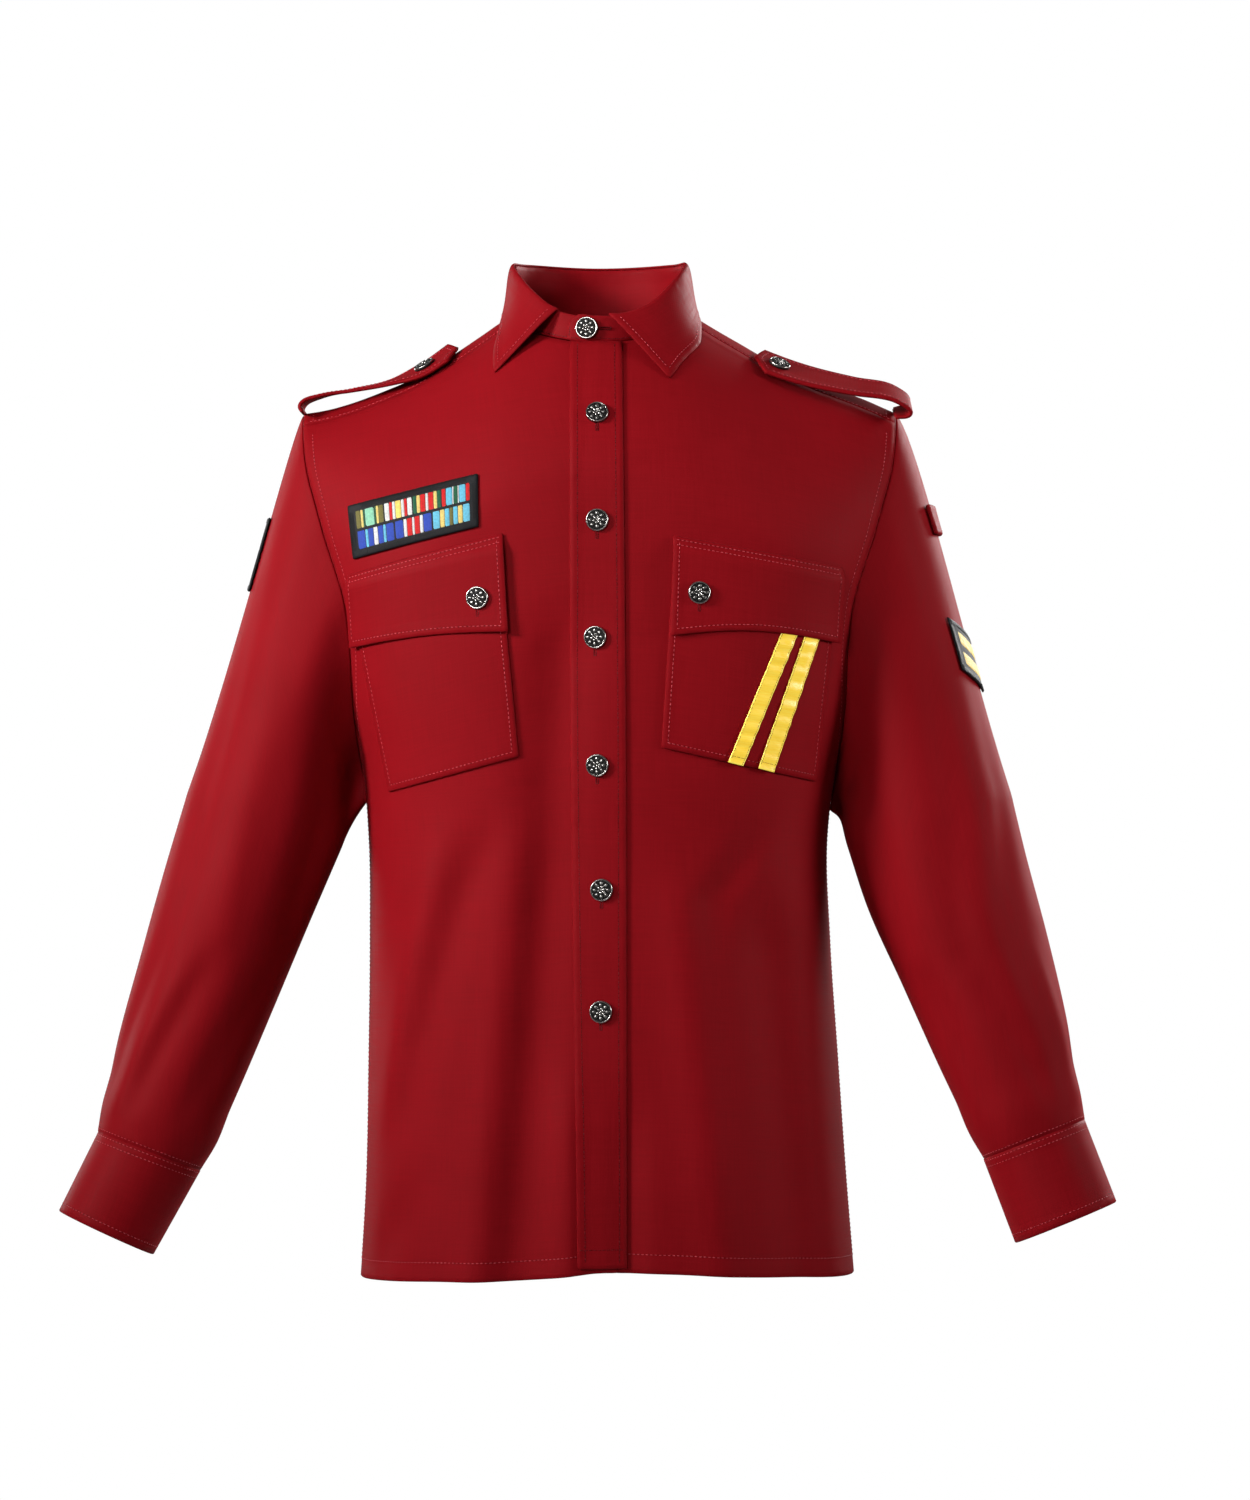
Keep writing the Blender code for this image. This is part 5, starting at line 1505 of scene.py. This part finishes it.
# Worked buttonholes: below each button of the placket and the flaps, and across on the collar's stand
HOLE_DROP = 5.5
COLLAR_HOLE_TURN = 8.0  # round the neck from the button, in degrees
holes = []
for x, z in (*zip(FRONT_BUTTONS["across"], FRONT_BUTTONS["height"]), *FLAP_BUTTONS.values()):
    on_flap = abs(x) > FRONTS_MEET * 2
    lift = FLAP_STAND + FIRM_WALL if on_flap else LIFT + WALL
    middle, out = on_front(x, z - HOLE_DROP, lift)
    holes.append(buttonhole(middle, unit(on_front(x, z - HOLE_DROP - 1, lift)[0] - middle), out))
out = neck_out(COLLAR_BUTTON_ANGLE - COLLAR_HOLE_TURN)
middle = neck_point(COLLAR_BUTTON_ANGLE - COLLAR_HOLE_TURN)
middle[2] = COLLAR_BUTTON_HEIGHT
holes.append(buttonhole(middle + out * (STAND_LAP + 0.2), np.array([-out[1], out[0], 0]), out))
add_piece(thread_mesh("buttonholes", holes, *BUTTONHOLE_THREAD, with_hole_shade=False), DEEP_THREAD)


# Embroidery: raised fields of thread on the patches, as (u, v) boxes with a thread colour
THREADS = {
    "black": (0.007, 0.007, 0.008), "red": (0.62, 0.015, 0.015), "light": (0.14, 0.50, 0.68),
    "green": (0.015, 0.11, 0.05), "white": (0.72, 0.72, 0.70), "olive": (0.17, 0.15, 0.04),
    "yellow": (0.78, 0.60, 0.18), "mint": (0.28, 0.62, 0.42), "blue": (0.03, 0.07, 0.42),
    "gold": (1.0, 0.70, 0.16), "silver": (0.55, 0.55, 0.56),
}


def place_on(grid, u, v):
    """Places between a grid's points at shares across and down it."""
    a, b = u * (grid.shape[1] - 1), v * (grid.shape[0] - 1)
    i, j = np.minimum(a.astype(int), grid.shape[1] - 2), np.minimum(b.astype(int), grid.shape[0] - 2)
    s, t = (a - i)[..., None], (b - j)[..., None]
    upper = grid[j, i] * (1 - s) + grid[j, i + 1] * s
    lower = grid[j + 1, i] * (1 - s) + grid[j + 1, i + 1] * s
    return upper * (1 - t) + lower * t


FIELD_FULLNESS = (6, 8)  # how full a field's crown is, across and down
FIELD_ROOT = 0.25  # the share of its height by which a field's edge lies in the cloth


def embroider(name, fields, height, columns, rows):
    """One piece of raised thread on a patch. Fields are (u0, u1, v0, v1, thread, along): along says
    that the threads run down the field and not across it."""
    face, out = SHEETS[name]["face"], SHEETS[name]["out"]
    spots, faces, shades, cuts = [], [], [], []
    for u0, u1, v0, v1, thread, along_it in fields:
        s, t = squares(columns, rows)
        u, v = u0 + (u1 - u0) * s, v0 + (v1 - v0) * t
        crown = (1 - np.abs(2 * s - 1) ** FIELD_FULLNESS[0]) * (1 - np.abs(2 * t - 1) ** FIELD_FULLNESS[1])
        spot = place_on(face, u, v) + place_on(out, u, v) * (height * (crown - FIELD_ROOT))[..., None]
        first = sum(len(part) for part in spots)
        number = np.arange(spot.shape[0] * spot.shape[1]).reshape(spot.shape[:2]) + first
        quads = np.stack([number[:-1, :-1], number[1:, :-1], number[1:, 1:], number[:-1, 1:]], -1)
        quads = quads.reshape(-1, 4)
        middle = spot[rows // 2, columns // 2]
        normal = np.cross(spot[rows // 2, -1] - middle, spot[-1, columns // 2] - middle)
        if normal @ out[out.shape[0] // 2, out.shape[1] // 2] > 0:
            quads = quads[:, ::-1]
        faces.append(quads)
        spots.append(spot.reshape(-1, 3))
        across, down = run_lengths(spot, 1).ravel(), run_lengths(spot, 0).ravel()
        cuts.append(np.stack([down, across] if along_it else [across, down], -1))
        shades.append(np.tile((*THREADS[thread], 1.0), (spot.shape[0] * spot.shape[1], 1)))
    faces, cuts = np.concatenate(faces), np.concatenate(cuts)
    mesh = new_mesh("thread_" + name, np.concatenate(spots), faces.tolist())
    mesh.uv_layers.new(name="cut").data.foreach_set("uv", (cuts[faces] * MM).ravel())
    carry(mesh, "thread", np.concatenate(shades))
    add_piece(mesh, COLOURED_THREAD, name)


def border(u, v):
    """A satin-stitched border of a width across and a height down."""
    return [
        (0.0, 1.0, 0.0, v, "black", False),
        (0.0, 1.0, 1 - v, 1.0, "black", False),
        (0.0, u, v, 1 - v, "black", True),
        (1 - u, 1.0, v, 1 - v, "black", True),
    ]


# Ribbon bars of a plain made-up order. Each bar is listed from its edge to its middle, as stripes of
# a thread and a width, and mirrors about its middle.
BARS = (
    (
        (("red", 3), ("light", 5), ("white", 1), ("green", 3)),
        (("green", 2), ("yellow", 2), ("red", 3), ("white", 1.5)),
        (("white", 2), ("red", 1.2), ("white", 1.2), ("gold", 2.4)),
        (("olive", 3), ("yellow", 1.5), ("green", 1), ("mint", 6)),
    ),
    (
        (("light", 3), ("yellow", 2), ("light", 2), ("olive", 1.5)),
        (("blue", 4), ("white", 1.5), ("red", 2.5), ("white", 1)),
        (("blue", 3), ("light", 1), ("blue", 2), ("white", 1.6)),
    ),
)
BARS_START, BARS_END, BAR_SPACE = 0.052, 0.948, 0.007  # shares across the patch
PATCH_ROWS = ((0.125, 0.485), (0.515, 0.875))  # each row's top and bottom as shares down it
fields = border(0.045, 0.11)
for (top, bottom), row in zip(PATCH_ROWS, BARS):
    step = (BARS_END - BARS_START) / len(row)
    for n, half in enumerate(row):
        stripes = [*half, *half[-2::-1]]
        left = BARS_START + n * step + BAR_SPACE / 2
        share = (step - BAR_SPACE) / sum(width for _, width in stripes)
        for thread, width in stripes:
            fields.append((left, left + width * share, top, bottom, thread, False))
            left += width * share
embroider("ribbon_patch", fields, 0.5, 6, 8)
gold_bars = border(0.05, 0.09)
for top, bottom in ((0.17, 0.44), (0.56, 0.83)):
    for first, last in ((0.09, 0.5), (0.5, 0.91)):
        gold_bars.append((first, last, top, bottom, "gold", True))
embroider("chevron_patch", gold_bars, 0.7, 14, 8)
pale_line = (0.94, 0.975, 0.12, 0.88, "silver", True)
embroider("sleeve_patch", [*border(0.06, 0.07), pale_line], 0.6, 14, 10)


# Buttons: a domed shank button with a bright rim, a sunk field and a generic rosette, in metres
BUTTON_SIDES, BUTTON_RADIUS, BUTTON_DEPTH = 48, 0.0086, 0.0010
# Steps inwards over its top, each with its rise: side, rim, the fall to the field, and the field
BUTTON_STEPS = (
    (0.0002, 0.0011), (0.0003, 0.0003), (0.0006, 0.0), (0.0003, -0.0008), (0.002, 0.00025), (0.003, 0.0002),
)
EDGE_BEVEL, SMOOTH_BELOW = 0.00014, 35  # the rounding of its edges, and the angle kept smooth in degrees
# Rings of petals and beads on the field: how many, their radius, how far out and how high they stand,
# their scale, the angle at which they start, and their segments and rings
BUTTON_BEADS = (
    (8, 0.0010, 0.0050, 0.0020, (2.0, 1.45, 0.85), 0.0, 10, 6),
    (8, 0.0005, 0.0066, 0.0019, (1, 1, 1), math.pi / 8, 8, 5),
    (6, 0.0008, 0.0022, 0.0024, (1.6, 1.25, 0.9), 0.3, 10, 6),
    (1, 0.0009, 0.0, 0.0026, (1, 1, 1), 0.0, 10, 6),
)
RIM_INSIDE = 0.0074
RIM_LOW, RIM_RISE, RIM_SHADES = 0.0002, 0.0019, (0.2, 0.9)  # how a rim's height turns into its shade
FIELD_LOW, FIELD_RISE = 0.0018, 0.0012  # and a field's


def ring_of_beads(count, radius, across, height, scale, start, segments, rings):
    """Equal beads or petals in a ring about a button's middle."""
    made = []
    for n in range(count):
        turn = start + n * 2 * math.pi / count
        place = (across * math.cos(turn), across * math.sin(turn), height)
        bpy.ops.mesh.primitive_uv_sphere_add(
            segments=segments, ring_count=rings, radius=radius, location=place, rotation=(0, 0, turn)
        )
        bpy.context.object.scale = scale
        made.append(bpy.context.object)
    return made


def button_model():
    """One button at the origin, facing up: a thin bright rim, a sunk field, and a rosette of petals."""
    bpy.ops.mesh.primitive_cylinder_add(
        vertices=BUTTON_SIDES, radius=BUTTON_RADIUS, depth=BUTTON_DEPTH, location=(0, 0, BUTTON_DEPTH / 2)
    )
    body = bpy.context.object
    bpy.ops.object.mode_set(mode="EDIT")
    bpy.ops.mesh.select_mode(type="FACE")
    bpy.ops.mesh.select_all(action="DESELECT")
    edit = bmesh.from_edit_mesh(body.data)
    for face in edit.faces:
        face.select = face.normal.z > 0.9
    bmesh.update_edit_mesh(body.data)
    for thickness, depth in BUTTON_STEPS:
        bpy.ops.mesh.inset(thickness=thickness, depth=depth, use_even_offset=True)
    bpy.ops.object.mode_set(mode="OBJECT")
    rounding = body.modifiers.new("rounding", "BEVEL")
    rounding.width, rounding.segments, rounding.limit_method = EDGE_BEVEL, 2, "ANGLE"
    bpy.ops.object.modifier_apply(modifier="rounding")
    parts = [body]
    for beads in BUTTON_BEADS:
        parts += ring_of_beads(*beads)
    for part in parts:
        part.select_set(True)
    bpy.ops.object.transform_apply(location=True, rotation=True, scale=True)
    bpy.context.view_layer.objects.active = body
    bpy.ops.object.join()
    bpy.ops.object.shade_smooth_by_angle(angle=math.radians(SMOOTH_BELOW))
    mesh = body.data.copy()
    bpy.data.objects.remove(body, do_unlink=True)
    spots = np.array([vertex.co for vertex in mesh.vertices])
    z, r = spots[:, 2], np.hypot(spots[:, 0], spots[:, 1])
    on_rim = np.clip((z - RIM_LOW) / RIM_RISE, *RIM_SHADES)
    carry(mesh, "relief", np.where(r > RIM_INSIDE, on_rim, np.clip((z - FIELD_LOW) / FIELD_RISE, 0, 1)))
    mesh.materials.clear()
    return mesh


BUTTON_MODEL = button_model()


def button(name, place, out):
    """A button in place of the node of the same name, which looks along a way out."""
    mesh = BUTTON_MODEL.copy()
    mesh.name = "metal_" + name
    turn = Vector(out).to_track_quat("Z", "Y").to_matrix().to_4x4()
    mesh.transform(Matrix.Translation(Vector(place * MM)) @ turn)
    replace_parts(add_piece(mesh, SILVER), name)


for i, (x, z) in enumerate(zip(FRONT_BUTTONS["across"], FRONT_BUTTONS["height"])):
    button(f"button_{i + 1}", *on_front(x, z, LIFT + WALL + BUTTON_SEAT))
out = neck_out(COLLAR_BUTTON_ANGLE, COLLAR_BUTTON_RISE)
place = neck_point(COLLAR_BUTTON_ANGLE)
place[2] = COLLAR_BUTTON_HEIGHT
button("button_collar", place + out * (STAND_LAP + 2 * BUTTON_SEAT), out)
STRAP_PLACES = 100  # along a strap, to find the way that its button looks
CUFF_BUTTON_SEAT = 1.4 * BUTTON_SEAT
for side, word in SIDES:
    button("button_flap_" + word, *on_front(*FLAP_BUTTONS[side], FLAP_STAND + FIRM_WALL + BUTTON_SEAT))
    strap = strap_grid(side, STRAP_PLACES, 2)[1]
    i = round(STRAP_BUTTON_SHARE[side] * STRAP_PLACES)
    run = strap[i + 3] - strap[i - 3]
    roll = math.radians(float(read(EPAULETTE[side], "share", "roll", STRAP_BUTTON_SHARE[side])))
    out = np.cross(run, np.array([0, math.cos(roll), math.sin(roll)]))
    out = out / np.linalg.norm(out) * math.copysign(1, out[2])
    button("button_epaulette_" + word, strap[i] + out * (STRAP_WALL + BUTTON_SEAT), out)
    z = float(np.mean(CUFF[side]["height"]))
    turn = np.array([CUFF_BUTTON_ANGLE])
    spot = ring(side, CUFF[side], z, turn, CUFF_LAP + CUFF_BUTTON_SEAT)[0][0]
    button("button_cuff_" + word, spot, spot - ring(side, CUFF[side], z, turn)[0][0])


# Each sheet's width and length along its outer face
for name, sheet in SHEETS.items():
    face = sheet["face"]
    if sheet["closed"]:
        face = np.concatenate([face, face[:, :1]], axis=1)
    width, length = run_lengths(face, 1)[:, -1].max() * MM, run_lengths(face, 0)[-1].max() * MM


# The floor, the light and the camera
CAMERA_ACROSS, CAMERA_HEIGHT, CAMERA_BACK = 0.020, -0.323, -4.060
FILM_WIDTH = 36
LENS = FILM_WIDTH * 4.0 / (1500 * 0.00077)  # 4 m away, a picture 1500 pixels high has pixels of 0.77 mm
FLOOR_SIZE, FLOOR_HEIGHT = 4.6, -1.32
FLOOR_GLOW = 0.75  # the share of its own light in the floor that the camera sees
ROOM_LIGHT = 0.10  # what the surroundings give
bpy.ops.mesh.primitive_plane_add(size=FLOOR_SIZE, location=(0, 0, FLOOR_HEIGHT))
floor = bpy.context.object
floor.name = "floor"
made, tree, shader, place, _ = finish("pale_floor", 0.6)
grain = add(tree, "ShaderNodeTexNoise", {"Vector": place, "Scale": 3.0, "Detail": 3.0}).outputs[0]
pale = ramp(tree, grain, [(0.3, (0.80, 0.80, 0.80)), (0.7, (0.85, 0.85, 0.85))])
tree.links.new(ramp(tree, grain, [(0.3, (0.56, 0.56, 0.56)), (0.7, (0.60, 0.60, 0.60))]),
               shader.inputs["Base Color"])
glow = add(tree, "ShaderNodeEmission", {"Color": pale, "Strength": 1.0}).outputs[0]
seen_share = maths(tree, "MULTIPLY", add(tree, "ShaderNodeLightPath").outputs["Is Camera Ray"], FLOOR_GLOW)
both = add(tree, "ShaderNodeMixShader", {0: seen_share, 1: shader.outputs[0], 2: glow}).outputs[0]
tree.links.new(both, tree.nodes["Material Output"].inputs["Surface"])
floor.data.materials.append(made)


# Round soft lights: place, aim, size, power and spread in degrees
LIGHTS = {
    "key": ((-2.7, -1.5, 0.8), (-0.1, 0, -0.18), 0.9, 6.2, 36),
    "side": ((2.9, -0.5, 0.3), (0.25, 0, -0.2), 1.1, 3.1, 38),
    "front": ((-1.3, -3.2, 0.7), (-0.05, 0, -0.05), 1.2, 2.7, 36),
    "top": ((0.2, 0.3, 2.6), (0, 0, -0.2), 1.8, 4, 180),
    "back": ((2.2, 2.4, 0.9), (0, 0, -0.3), 1.2, 26, 80),
    "back_fill": ((-2.4, 2.4, 0.2), (0, 0, -0.3), 1.8, 8, 80),
}
for name, (place, aim, size, power, spread) in LIGHTS.items():
    lamp = bpy.data.lights.new(name, "AREA")
    lamp.spread = math.radians(spread)
    lamp.shape, lamp.size, lamp.energy = "DISK", size, power
    holder = bpy.data.objects.new(name, lamp)
    holder.location = place
    holder.rotation_euler = (Vector(aim) - Vector(place)).to_track_quat("-Z", "Y").to_euler()
    bpy.context.scene.collection.objects.link(holder)

world = bpy.data.worlds.new("studio")
bpy.context.scene.world = world
world.use_nodes = True
tree = world.node_tree
tree.nodes.clear()
seen = add(tree, "ShaderNodeBackground", {"Color": (1, 1, 1, 1), "Strength": 1.0})
around = add(tree, "ShaderNodeBackground", {"Color": (1, 1, 1, 1), "Strength": ROOM_LIGHT})
is_seen = add(tree, "ShaderNodeLightPath").outputs["Is Camera Ray"]
mixed = add(tree, "ShaderNodeMixShader", {0: is_seen, 1: around.outputs[0], 2: seen.outputs[0]})
add(tree, "ShaderNodeOutputWorld", {0: mixed.outputs[0]})

lens = bpy.data.cameras.new("camera")
lens.lens, lens.sensor_width = LENS, FILM_WIDTH
camera = bpy.data.objects.new("camera", lens)
camera.location = (CAMERA_ACROSS, CAMERA_BACK, CAMERA_HEIGHT)
camera.rotation_euler = (math.pi / 2, 0, 0)
bpy.context.scene.collection.objects.link(camera)
bpy.context.scene.camera = camera
bpy.context.scene.view_settings.view_transform = "Standard"
